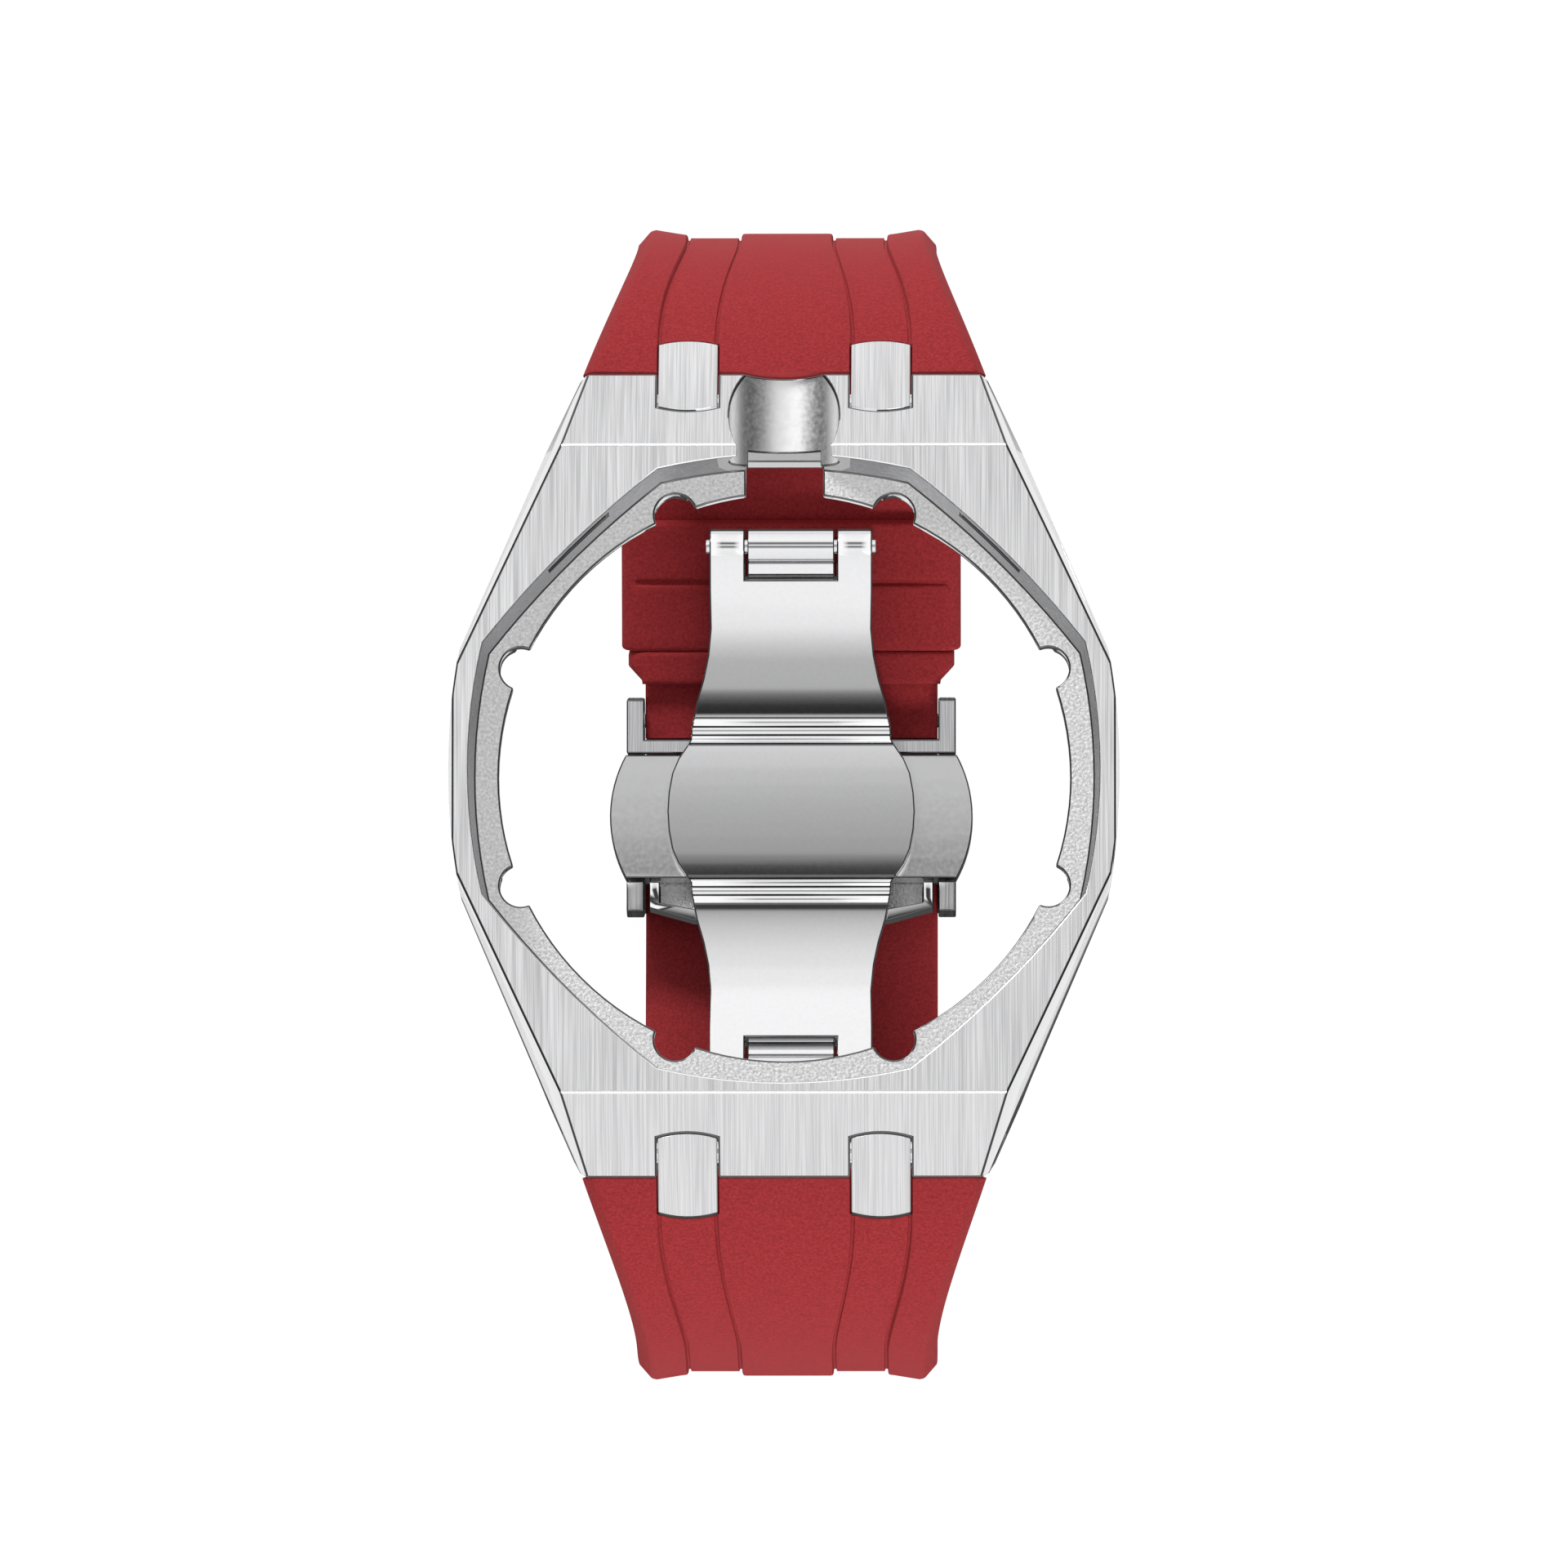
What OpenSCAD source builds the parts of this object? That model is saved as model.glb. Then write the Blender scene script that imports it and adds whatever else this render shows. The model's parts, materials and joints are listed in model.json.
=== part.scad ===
// Steel watch case with a moulded rubber strap and a folding clasp.
// The pocket of the case is empty: a watch head with an octagonal bezel drops into it from the front.
// Origin: middle of the ledge that the watch head sits on. +Z out of the dial, +Y to 12 o'clock.

/* [Case] */
// Half the width of the case at 3 and 9 o'clock
case_half_wide = 22.04; // [21.6:0.02:24]
// How far the long sides bulge out between the side corners
side_bulge = 0.74; // [0.4:0.02:1.2]
// Wall between the pocket and the long sides
case_wall = 1.34; // [1.1:0.02:2]
// Distance of the side corners from the middle, along the length
corner_at = 7.9; // [6:0.1:9]
// Half the width of the case where the end facet starts
crease_half_wide = 15.7; // [15:0.1:17]
// Wall between the pocket and the crease of the end facet
crease_wall = 0.66; // [0.4:0.02:1.4]
// Length of the end facets, from the crease to the strap
facet_len = 5.19; // [4.5:0.01:6]
// Half the width of the case at the strap
end_half_wide = 13.45; // [12.5:0.05:14]
// Height of the front face over the ledge
face_z = 5.65; // [4.5:0.05:7]
// Height of the lower edge of the end facets over the ledge
end_z = 1.2; // [0.8:0.05:1.6]
// Depth of the case back under the ledge
back_z = 2.6; // [1.8:0.1:4]
// Depth of the strap ends of the case under the ledge
end_drop = 4.1; // [3:0.1:5]

/* [Pocket] */
// How much nearer the slanted sides of the pocket are to its middle than the long sides
slant_in = 0.38; // [0.2:0.02:0.8]
// How much the pocket narrows from the front down to the ledge
pocket_draft = 0.25; // [0.2:0.05:0.8]
// Radius of the bow of the long sides
long_bow_r = 36.5; // [30:0.5:60]
// Radius of the bow of the slanted sides
slant_bow_r = 66; // [40:1:90]
// Width of the ledge round its hole, at the long sides
ledge_w = 1.9; // [1.6:0.02:2.6]
// Thickness of the ledge
ledge_t = 1.2; // [0.8:0.1:1.6]
// Radius of the eight notches for the screw tubes of the head
notch_r = 1.38; // [1:0.02:1.5]
// Radius of the crown channel at 12 o'clock
channel_r = 3.6; // [3:0.01:3.7]
// Height of the axis of the crown channel over the ledge
channel_z = 3.75; // [3.7:0.05:4.2]
// Width of the gap in the ledge under the crown channel
gap_w = 5.1; // [4:0.1:5.6]
// Height of the four clip slots over the ledge
clip_slot_z = 3.2; // [1:0.1:3.4]
// Length of the four clip slots in the pocket wall
clip_slot_len = 5.4; // [3:0.1:6]
// Height of the four clip slots in the pocket wall
clip_slot_h = 1.4; // [0.8:0.1:1.6]

/* [Links] */
// Width of a link stud
stud_w = 3.87; // [3:0.01:4.5]
// Distance of the link studs from the middle of the strap
stud_at = 6.35; // [5.5:0.05:7]
// Length of a link stud inside the case
stud_in_case = 2.63; // [2.3:0.01:3]
// Length of a link stud over the strap
stud_on_strap = 2.42; // [1.8:0.01:2.8]
// Gap round a link stud in its slot
stud_gap = 0.1; // [0.05:0.01:0.2]
// Radius of the lug bars
lug_bar_r = 0.75; // [0.6:0.05:0.9]
// Radius of the heads of the lug screws
screw_head_r = 1.15; // [1:0.05:1.3]

/* [Strap] */
// Width of the strap at the clasp
strap_w = 20; // [18:0.1:22]
// Thickness of the strap at the case
strap_t_case = 4.4; // [3.8:0.1:4.8]
// Thickness of the strap at the clasp
strap_t = 2.6; // [2.2:0.05:2.7]
// Half the width of the middle ridge at the case
middle_wide_case = 4.45; // [3.5:0.05:5]
// Half the width of the middle ridge at the clasp
middle_wide = 3.1; // [2.5:0.05:3.5]
// Distance of the outer ridges from the middle at the case
groove_to_case = 8.3; // [7.5:0.05:9]
// Distance of the outer ridges from the middle at the clasp
groove_to = 6.65; // [6:0.05:7.5]
// Height of the outer ridges over the grooves of the strap
outer_ridge = 0.55; // [0.3:0.05:0.8]
// Height of the middle ridge over the grooves of the strap
middle_ridge = 0.3; // [0.15:0.05:0.6]
// Wall of the keepers at the sides of the strap
keeper_side = 1.45; // [1:0.05:2]
// Wall of the keepers over and under the strap
keeper_wall = 1.0; // [0.7:0.05:1.1]
// Length of the sliding keeper along the strap
keeper_len = 8.6; // [6:0.1:9]
// Length of the fixed keeper along the strap
fixed_keeper_len = 2.2; // [1.6:0.1:2.4]
// Gap between a keeper and the strap
keeper_gap = 0.15; // [0.1:0.01:0.2]

/* [Clasp] */
// Middle of the clasp, from the middle of the case towards 12 o'clock
clasp_y = 3.1; // [0:0.1:6]
// Depth of the inner face of the clasp under the ledge
clasp_depth = 52; // [48:0.5:60]
// Radius of the bow of the clasp, round the wrist
bow_r = 55; // [45:1:70]
// Thickness of the long plate
plate_t = 1.1; // [0.9:0.05:1.3]
// Distance of the two hinges of the long plate from its middle
hinge_at = 18.6; // [17.8:0.1:19.5]
// Radius of the hinge knuckles
knuckle_r = 1.2; // [1:0.05:1.4]
// Radius of the hinge pins
pin_r = 0.5; // [0.4:0.05:0.6]
// Half the width of the long plate at its hinges
plate_half = 5.55; // [5:0.05:6]
// Half the width of the pad in the middle of the long plate
pad_half = 8.45; // [7.5:0.05:9]
// Length of the push buttons along the strap
button_len = 8.7; // [7:0.1:8.8]
// Half the width of the clasp over its push buttons
button_reach = 12.4; // [11.8:0.1:13.5]
// How far a push button goes in
button_travel = 0.8; // [0.4:0.1:1]
// Wall of the buckle frame beside the strap
frame_wall = 1.2; // [1:0.05:1.5]
// Gap between the strap and the buckle frame, each side
frame_gap = 0.05; // [0.03:0.01:0.1]
// Running gap of pins and bars in their holes
run = 0.04; // [0.02:0.01:0.08]

/* [Hidden] */
$fn = 64;

// The case from its width outwards and inwards
corner_half_wide = case_half_wide - side_bulge;
pocket_half = case_half_wide - case_wall;
pocket_diagonal = pocket_half - slant_in;
ledge_r = pocket_half - ledge_w;
crease_at = pocket_half + crease_wall;
case_half_len = crease_at + facet_len;
far = 5 * case_half_len;

// Clasp levels, as depths under the inner face of the plate at its middle
strap_12_in = 3.75;
strap_12_out = strap_12_in + strap_t;
tail_in = strap_12_out + 0.2;
tail_out = tail_in + strap_t;
keeper_in = strap_12_in - keeper_gap - keeper_wall;
keeper_out = tail_out + keeper_gap + keeper_wall;
steel = "silver";
rubber = "firebrick";
bow_z = bow_r - clasp_depth;
frame_in = strap_w / 2 + frame_gap;
frame_out = frame_in + frame_wall;

// Places of the lug bars, from the middle of the case
lug_y = case_half_len - 1.85;
lug_z = end_z - 2.1;
stud_start = case_half_len - stud_in_case;
stud_len = stud_in_case + stud_on_strap;
stud_end = stud_start + stud_len;
stud_bow_r = 7.2;
stud_floor = lug_z - 1.5;

// A 2D outline in the length and height of the watch, drawn through its whole width
module across(wide) {
  rotate([90, 0, 90]) translate([0, 0, -wide / 2]) linear_extrude(wide) children();
}

// Both ends of the watch
module both_ends() {
  children();
  mirror([0, 1, 0]) children();
}

// Both sides of the watch
module both_sides() {
  children();
  mirror([1, 0, 0]) children();
}

// Everything beyond the plane through three points, on the side that their turn faces
module beyond(a, b, c) {
  n = cross(c - a, b - a);
  u = n / norm(n);
  translate(a) rotate([0, acos(u.z), atan2(u.y, u.x)]) translate([-far / 2, -far / 2, 0])
    cube([far, far, far / 4]);
}

// Outline of the case seen from the dial
module case_plan() {
  side_r = (corner_at * corner_at + side_bulge * side_bulge) / (2 * side_bulge);
  side_turn = asin(corner_at / side_r);
  corner_cut = 0.45;
  crease_in = 0.36;
  facets = 8;
  corners = [
    [end_half_wide - corner_cut, case_half_len], [end_half_wide, case_half_len - corner_cut],
    [crease_half_wide, crease_at - crease_in]
  ];
  rim = concat(corners, [for (i = [0:facets]) let (a = side_turn * (1 - i / facets))
    [case_half_wide - side_r + side_r * cos(a), side_r * sin(a)]]);
  n = len(rim);
  polygon(concat(
    rim, [for (i = [n - 2:-1:0]) [rim[i].x, -rim[i].y]],
    [for (i = [0:n - 1]) -rim[i]], [for (i = [n - 2:-1:0]) [-rim[i].x, rim[i].y]]
  ));
}

// Side view of the case: facets at both ends, a flat back and dropped strap ends
module case_profile() {
  half = [
    [crease_at, face_z], [case_half_len, end_z], [case_half_len - 0.3, end_z - 1.7],
    [case_half_len - 1.4, -end_drop], [crease_at, -end_drop], [crease_at - 1.6, -back_z]
  ];
  polygon(concat(half, [for (i = [5:-1:0]) [-half[i].x, half[i].y]]));
}

// The octagonal pocket: eight bowed walls, drawn in a little from the front to the ledge
module pocket() {
  over = 1;
  grow = pocket_draft * over / face_z;
  intersection_for (side = [0:7]) {
    bow = side % 2 == 0 ? long_bow_r : slant_bow_r;
    half = side % 2 == 0 ? pocket_half : pocket_diagonal;
    rotate(side * 45) translate([half - bow, 0, 0])
      cylinder(face_z + over, bow - pocket_draft, bow + grow, $fn = 360);
  }
}

// One link stud from above, grown by a gap
module stud_plan(gap = 0) {
  bow = stud_bow_r + gap;
  intersection() {
    translate([-stud_w / 2 - gap, stud_start - gap]) square([stud_w + 2 * gap, stud_len + 2 * gap]);
    translate([0, stud_start + stud_bow_r]) circle(bow, $fn = 180);
    translate([0, stud_end - stud_bow_r]) circle(bow, $fn = 180);
  }
}

// Side view of a link stud, grown by a gap: its top lies flush with the end facet and the strap
module stud_profile(gap = 0) {
  slope = (face_z - end_z) / (case_half_len - crease_at);
  polygon([
    [stud_start - 1, end_z + slope * (case_half_len - stud_start + 1) + (gap > 0 ? 2 : 0)],
    [case_half_len, end_z + (gap > 0 ? 2 : 0)],
    [stud_end + 1, end_z - 0.78 * (stud_end + 1 - case_half_len) + (gap > 0 ? 2 : 0)],
    [stud_end + 1, stud_floor - 0.5 - gap], [case_half_len, stud_floor - gap],
    [stud_start - 1, stud_floor - gap]
  ]);
}

module stud_block(gap = 0) {
  intersection() {
    across(stud_w + 4) stud_profile(gap);
    translate([0, 0, -far / 2]) linear_extrude(far) stud_plan(gap);
  }
}

module stud(side) {
  translate([side * stud_at, 0, 0]) difference() {
    stud_block();
    translate([-stud_w, lug_y, lug_z]) rotate([0, 90, 0]) cylinder(2 * stud_w, r = lug_bar_r + run);
  }
}

module case_body() {
  tall = face_z + end_drop;
  head_z = 0.8;
  edge_front = [crease_half_wide - 1.05, crease_at, face_z];
  edge_corner = [corner_half_wide - 0.3, corner_at, face_z];
  edge_end = [end_half_wide - 0.5, case_half_len, end_z];
  edge_low = [crease_half_wide, crease_at - 0.36, face_z - 2.4];
  side_front = case_half_wide - 0.27;
  edge_side = [case_half_wide, 0, face_z - 1.6];
  color(steel) difference() {
    intersection() {
      across(2 * case_half_wide + 2) case_profile();
      translate([0, 0, -end_drop - 1]) linear_extrude(tall + 2) case_plan();
    }
    both_sides() both_ends() {
      beyond(edge_front, edge_low, edge_corner);
      beyond(edge_end, edge_low, edge_front);
    }
    both_sides() beyond([side_front, corner_at, face_z], edge_side, [side_front, -corner_at, face_z]);
    pocket();
    translate([0, 0, -back_z - 1]) cylinder(back_z + 2, r = ledge_r, $fn = 256);
    translate([0, 0, -back_z - 1]) cylinder(back_z - ledge_t + 1, r = ledge_r + 0.9, $fn = 256);
    for (i = [0:7]) rotate(22.5 + 45 * i)
      translate([ledge_r, 0, -back_z - 1]) cylinder(back_z + 2, r = notch_r);
    translate([-gap_w / 2, ledge_r - 2, -back_z - 1]) cube([gap_w, 4.6, back_z + 2]);
    translate([0, pocket_half - 1.4, channel_z]) rotate([-90, 0, 0])
      cylinder(10, r = channel_r, $fn = 128);
    both_sides() both_ends() rotate(45) translate([0, 1.1 - clip_slot_len / 2, clip_slot_z])
      translate([pocket_diagonal - 2, 0, 0]) cube([3.1, clip_slot_len, clip_slot_h]);
    both_sides() both_ends() translate([stud_at, 0, 0]) stud_block(stud_gap);
    both_ends() translate([-far / 2, lug_y, lug_z]) rotate([0, 90, 0])
      cylinder(far, r = lug_bar_r + run);
    both_sides() both_ends() translate([end_half_wide - head_z + 0.2, lug_y, lug_z])
      rotate([0, 90, 0]) cylinder(5, r = screw_head_r + run);
  }
}

module stud_12_left() { color(steel) stud(-1); }
module stud_12_right() { color(steel) stud(1); }
module stud_6_left() { color(steel) mirror([0, 1, 0]) stud(-1); }
module stud_6_right() { color(steel) mirror([0, 1, 0]) stud(1); }

// A bar through the case and both link studs of one end
module lug_bar() {
  long = 2 * (end_half_wide - 0.7);
  color(steel) translate([-long / 2, lug_y, lug_z]) rotate([0, 90, 0]) cylinder(long, r = lug_bar_r);
}

module lug_bar_12() { lug_bar(); }
module lug_bar_6() { mirror([0, 1, 0]) lug_bar(); }

// Slotted heads at both ends of both lug bars
module lug_screws() {
  head = 0.7;
  slot = 0.35;
  color(steel) both_sides() both_ends() translate([end_half_wide - 0.6, lug_y, lug_z])
    rotate([0, 90, 0]) difference() {
      cylinder(head, r = screw_head_r);
      translate([-screw_head_r, -slot / 2, head - slot]) cube([2 * screw_head_r, slot, slot + 1]);
    }
}

// Points on a Bezier curve, and the direction there
function bez(p, t) = pow(1 - t, 3) * p[0] + 3 * t * pow(1 - t, 2) * p[1]
  + 3 * t * t * (1 - t) * p[2] + pow(t, 3) * p[3];
function bez_way(p, t) = let (d = pow(1 - t, 2) * (p[1] - p[0]) + 2 * t * (1 - t) * (p[2] - p[1])
  + t * t * (p[3] - p[2])) d / norm(d);

// A point at an angle round the axis of the clasp's bow, at a depth under the clasp's inner face.
// side is 1 at 12 o'clock and -1 at 6 o'clock, where the strap is drawn mirrored
function bow(angle, depth, side = 1) =
  [side * clasp_y + (bow_r + depth) * sin(angle), bow_z - (bow_r + depth) * cos(angle)];
function bow_angle(u) = asin(u / (bow_r + 3));

// Fade from 0 to 1 between two values
function fade(x, a, b) = let (t = min(1, max(0, (x - a) / (b - a)))) t * t * (3 - 2 * t);

// Middle line of a strap from the case to the clasp: [point, outward normal, thickness, share of the way].
// It leaves the case at strap_fall, swings round as one curve and joins the bow of the clasp at join.
strap_fall = 38;
lead_case_12 = 0.7 * case_half_len;
lead_clasp_12 = 0.25 * clasp_depth;
lead_case_6 = 0.6 * case_half_len;
lead_clasp_6 = 0.72 * clasp_depth;
steps = 22;
function strap_line(side, depth, pull_case, pull_clasp, join, last) = let (
  out = [sin(strap_fall), cos(strap_fall)],
  way = [cos(strap_fall), -sin(strap_fall)],
  start = [case_half_len + 0.15, end_z - 0.25] - out * strap_t_case / 2,
  stop = bow(join, depth, side),
  p = [start, start + pull_case * way, stop + pull_clasp * [cos(join), sin(join)], stop]
) concat(
  [[start - 3 * way, out, strap_t_case, 0]],
  [for (i = [0:steps]) let (t = i / steps, d = bez_way(p, t))
    [bez(p, t), [-d.y, d.x], strap_t_case + (strap_t - strap_t_case) * fade(t, 0, 0.9), t]],
  [for (i = [1:12]) let (a = join + (last - join) * i / 12)
    [bow(a, depth, side), [sin(a), -cos(a)], strap_t, 1]]
);

// Side view of a strap, with its outer face raised by a ridge that fades out before the clasp
module strap_side(line, ridge = 0, inner = 1) {
  polygon(concat(
    [for (q = line) q[0] + q[1] * (q[2] / 2 + ridge * (1 - fade(q[3], 0.75, 1)))],
    [for (i = [len(line) - 1:-1:0]) line[i][0] - line[i][1] * inner * line[i][2] / 2]
  ));
}

// Half the width of the strap, and of its middle ridge and its grooves, along the length of the watch
taper_len = 0.9 * case_half_len;
function taper(s) = let (t = min(1, max(0, s / taper_len))) 1 - (1 - t) * (1 - t);
function waist(s) = fade(s, 3, 22);
function strap_half(s) = end_half_wide + (strap_w / 2 - end_half_wide) * taper(s);
function middle_half(s) = middle_wide_case + (middle_wide - middle_wide_case) * waist(s);
function groove_half(s) = groove_to_case + (groove_to - groove_to_case) * waist(s);

// The space between two half widths, given along a line that leaves the case and falls steeply
strap_lean = 60;
module strap_space(a, b) {
  points = 16;
  ends = concat([-taper_len], [for (i = [0:points]) taper_len * i / points], [far]);
  n = len(ends);
  translate([0, case_half_len, end_z]) rotate([-strap_lean, 0, 0]) translate([0, 0, -far])
    linear_extrude(2 * far) polygon(concat(
      [for (s = ends) [a(s), s]], [for (i = [n - 1:-1:0]) [b(ends[i]), ends[i]]]
    ));
}

// The strap end is cut to the end wall of the case and round the link studs
module strap_end_cut() {
  gap = 0.15;
  wall = case_half_len + gap;
  across(far) polygon([
    [0, 8], [wall, 8], [wall, end_z], [wall - 0.3, end_z - 1.7], [wall - 1.4, -end_drop],
    [wall - 3, -end_drop - 5], [0, -end_drop - 5]
  ]);
  both_sides() translate([stud_at, 0, 0]) stud_block(stud_gap);
}

module strap(line) {
  full = function(s) strap_half(s);
  difference() {
    union() {
      intersection() {
        across(far) strap_side(line);
        strap_space(function(s) -strap_half(s), full);
      }
      intersection() {
        across(far) strap_side(line, middle_ridge, -0.4);
        strap_space(function(s) -middle_half(s), function(s) middle_half(s));
      }
      both_sides() intersection() {
        across(far) strap_side(line, outer_ridge, -0.4);
        strap_space(function(s) groove_half(s), full);
      }
    }
    strap_end_cut();
  }
}

// A band that follows the bow of the clasp between two depths and two places along the strap
module bow_band(top, bottom, from, to, wide) {
  a = bow_angle(from);
  b = bow_angle(to);
  across(wide) translate([clasp_y, bow_z]) intersection() {
    difference() {
      circle(bow_r + bottom, $fn = 720);
      circle(bow_r + top, $fn = 720);
    }
    polygon([[0, 0], [far * sin(a), -far * cos(a)], [far * sin(b), -far * cos(b)]]);
  }
}

// A round bar across the strap
module cross_bar(u, depth, r, long) {
  q = bow(bow_angle(u), depth);
  translate([-long / 2, q.x, q.y]) rotate([0, 90, 0]) cylinder(long, r = r);
}

// Puts a shape drawn at the bottom of the bow at a place along the strap, leaning with the bow
module on_bow(u, depth) {
  translate([0, clasp_y, bow_z]) rotate([bow_angle(u), 0, 0])
    translate([0, 0, -bow_r - depth]) children();
}

bar_u = 6.5;
bar_depth = strap_12_in + strap_t / 2;
bar_r = 0.75;
strap_12_end = 5.35;
tail_end = 25;
tip_r = 12.2;
tip_long = 8;
tip_short = 1.8;
tang_u = 2.2;
tang_depth = 5.35;
tang_bar_r = 0.6;
hole_u = 1.4;
hole_pitch = 6;
hole_r = 1.15;
hole_long = 4.2;

module strap_12() {
  line = strap_line(1, bar_depth, lead_case_12, lead_clasp_12, 26.7, bow_angle(strap_12_end));
  color(rubber) difference() {
    strap(line);
    cross_bar(bar_u, bar_depth, bar_r + run, 3 * strap_w);
  }
}

// The long strap runs through the buckle frame and on as a tail over the short one, with slotted holes
module strap_6() {
  mid = tail_in + strap_t / 2;
  line = strap_line(-1, mid, lead_case_6, lead_clasp_6, 10, -bow_angle(tail_end));
  color(rubber) difference() {
    mirror([0, 1, 0]) strap(line);
    for (i = [-1:3]) on_bow(hole_u + hole_pitch * i, mid) translate([0, 0, -strap_t])
      linear_extrude(2 * strap_t) {
        both_ends() translate([0, hole_long / 2 - hole_r]) circle(hole_r);
        square([2 * hole_r, hole_long - 2 * hole_r], center = true);
      }
    translate([0, 0, -2 * clasp_depth]) linear_extrude(clasp_depth * 1.2) difference() {
      translate([-strap_w, clasp_y + tail_end - tip_long]) square([2 * strap_w, strap_w]);
      translate([0, clasp_y + tail_end - tip_r - tip_short]) circle(tip_r, $fn = 180);
    }
  }
}

// A band round the strap and the tail under it
module keeper(from, to, side_wall) {
  inner = strap_w / 2 + keeper_gap;
  difference() {
    bow_band(keeper_in, keeper_out, from, to, 2 * (inner + side_wall));
    bow_band(keeper_in + keeper_wall, keeper_out - keeper_wall, from - 2, to + 2, 2 * inner);
  }
}

keeper_from = 11.25;
// The fixed keeper has slanted corners on its clasp side
module fixed_keeper() {
  corner = 0.55 * fixed_keeper_len;
  to = keeper_from - 0.05;
  from = to - fixed_keeper_len;
  half = strap_w / 2 + keeper_gap + keeper_side - 0.45;
  color(rubber) difference() {
    keeper(from, to, keeper_side - 0.45);
    both_sides() translate([half, clasp_y + from, -clasp_depth - 20]) rotate(45)
      translate([-corner / sqrt(2), -2, 0]) cube([5, 4, 30]);
  }
}

module sliding_keeper() {
  groove = 0.3;
  color(rubber) difference() {
    keeper(keeper_from, keeper_from + keeper_len, keeper_side);
    bow_band(keeper_in - 1, keeper_in + groove, keeper_from + 4.4, keeper_from + 4.8, strap_w + 2);
  }
}

knuckle_depth = knuckle_r - 0.1;
slot_half = 3.15;
barrel_half = slot_half - 0.2;
slot_from = 16.5;
arm_half = 4.5;
arm_top = plate_t + 0.15;
arm_t = 0.9;
arm_tip = 5.2;
button_mid = -0.22;
button_top = arm_top;
button_bottom = 3.4;
base_top = button_bottom + 0.1;
base_bottom = 4.5;

// Half outline of the long plate from its middle to one hinge: place along the strap, half width
plate_rim = [
  [0, 0], [1.3, -0.08], [2.6, -0.32], [3.6, -0.75], [4.4, -1.3], [4.9, -1.6], [5.7, -1.65]
];
module plate_plan() {
  end = plate_half;
  waist = [[7.45, 0.9], [9.0, 0.45], [10.6, 0.12], [12.4, -0.05], [15, 0], [hinge_at + 3, 0]];
  half = concat(
    [for (q = plate_rim) [pad_half + q.y, q.x]], [for (q = waist) [end + q.y, q.x]]
  );
  n = len(half);
  translate([0, clasp_y]) polygon(concat(
    half, [for (i = [n - 1:-1:0]) [-half[i].x, half[i].y]],
    [for (q = half) [-q.x, -q.y]], [for (i = [n - 1:-1:0]) [half[i].x, -half[i].y]]
  ));
}

// The long plate that lies on the wrist, with a fork at each end, a raised pad and a pair of ribs
module clasp_plate() {
  pad = 0.35;
  pad_end = 4.85;
  rib_r = 0.3;
  wide = 2 * pad_half + 2;
  color(steel) difference() {
    union() {
      intersection() {
        union() {
          bow_band(0, plate_t, -hinge_at, hinge_at, wide);
          bow_band(-pad, plate_t / 2, -pad_end, pad_end, wide);
          for (side = [-1, 1]) for (i = [0:2])
            cross_bar(side * (pad_end + 0.35 + 0.6 * i), 0.05, rib_r, wide);
        }
        translate([0, 0, -clasp_depth - 10]) linear_extrude(30) plate_plan();
      }
      for (u = [-hinge_at, hinge_at]) cross_bar(u, knuckle_depth, knuckle_r, 2 * plate_half);
    }
    for (side = [-1, 1]) mirror_bow(side) hinge_slot();
    cross_bar(-hinge_at, knuckle_depth, pin_r + run, 40);
    cross_bar(hinge_at, knuckle_depth, pin_r, 40);
  }
}

// The opening between the two ears of a fork
module hinge_slot() {
  bow_band(-3, 5, slot_from, hinge_at + 4, 2 * slot_half);
}

// Swaps the two ends of the clasp for side -1
module mirror_bow(side) {
  translate([0, clasp_y, 0]) mirror([0, side > 0 ? 0 : 1, 0]) translate([0, -clasp_y, 0]) children();
}

// An arm under the long plate: a barrel in the fork, a neck and a blade
module arm(side, bore) {
  wide_from = slot_from - 0.1;
  neck = hinge_at - 0.6;
  difference() {
    union() {
      mirror_bow(side) bow_band(arm_top, arm_top + arm_t, arm_tip, wide_from, 2 * arm_half);
      mirror_bow(side) bow_band(arm_top, arm_top + arm_t, wide_from - 1, neck, 2 * barrel_half);
      cross_bar(side * hinge_at, knuckle_depth, knuckle_r, 2 * barrel_half);
    }
    cross_bar(side * hinge_at, knuckle_depth, bore, 40);
  }
}

module upper_arm() { color(steel) arm(1, pin_r + run); }
module upper_hinge_pin() { color(steel) hinge_pin(hinge_at); }
module lower_hinge_pin() { color(steel) hinge_pin(-hinge_at); }
module hinge_pin(u) {
  cross_bar(u, knuckle_depth, pin_r, 2 * plate_half + 0.5);
}

// The bracket at the end of the upper arm. Its cross piece passes over the end of the short strap,
// and its round ears hold the spring bar
module strap_bracket() {
  ear_r = 1.5;
  from = arm_tip - 0.95;
  color(steel) difference() {
    union() {
      bow_band(arm_top, strap_12_in - 0.2, from, arm_tip, 2 * frame_out);
      both_sides() translate([(frame_in + frame_out) / 2, 0, 0]) {
        bow_band(arm_top, bar_depth, from, bar_u + ear_r, frame_wall);
        bow_band(bar_depth - 1, bar_depth + ear_r, from, bar_u, frame_wall);
        cross_bar(bar_u, bar_depth, ear_r, frame_wall);
      }
    }
    cross_bar(bar_u, bar_depth, bar_tip_r + run, 40);
  }
}

// The spring bar stays in the short strap, and its thinner tips sit in the ears
bar_tip_r = 0.45;
module spring_bar() {
  color(steel) union() {
    cross_bar(bar_u, bar_depth, bar_r, strap_w);
    cross_bar(bar_u, bar_depth, bar_tip_r, 2 * frame_out - 0.2);
  }
}

// The lower arm reaches down into the tray of the cover
module lower_arm() {
  color(steel) union() {
    arm(-1, pin_r);
    bow_band(arm_top + arm_t, base_top, -6.7, -arm_tip, 2 * arm_half);
  }
}

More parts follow.
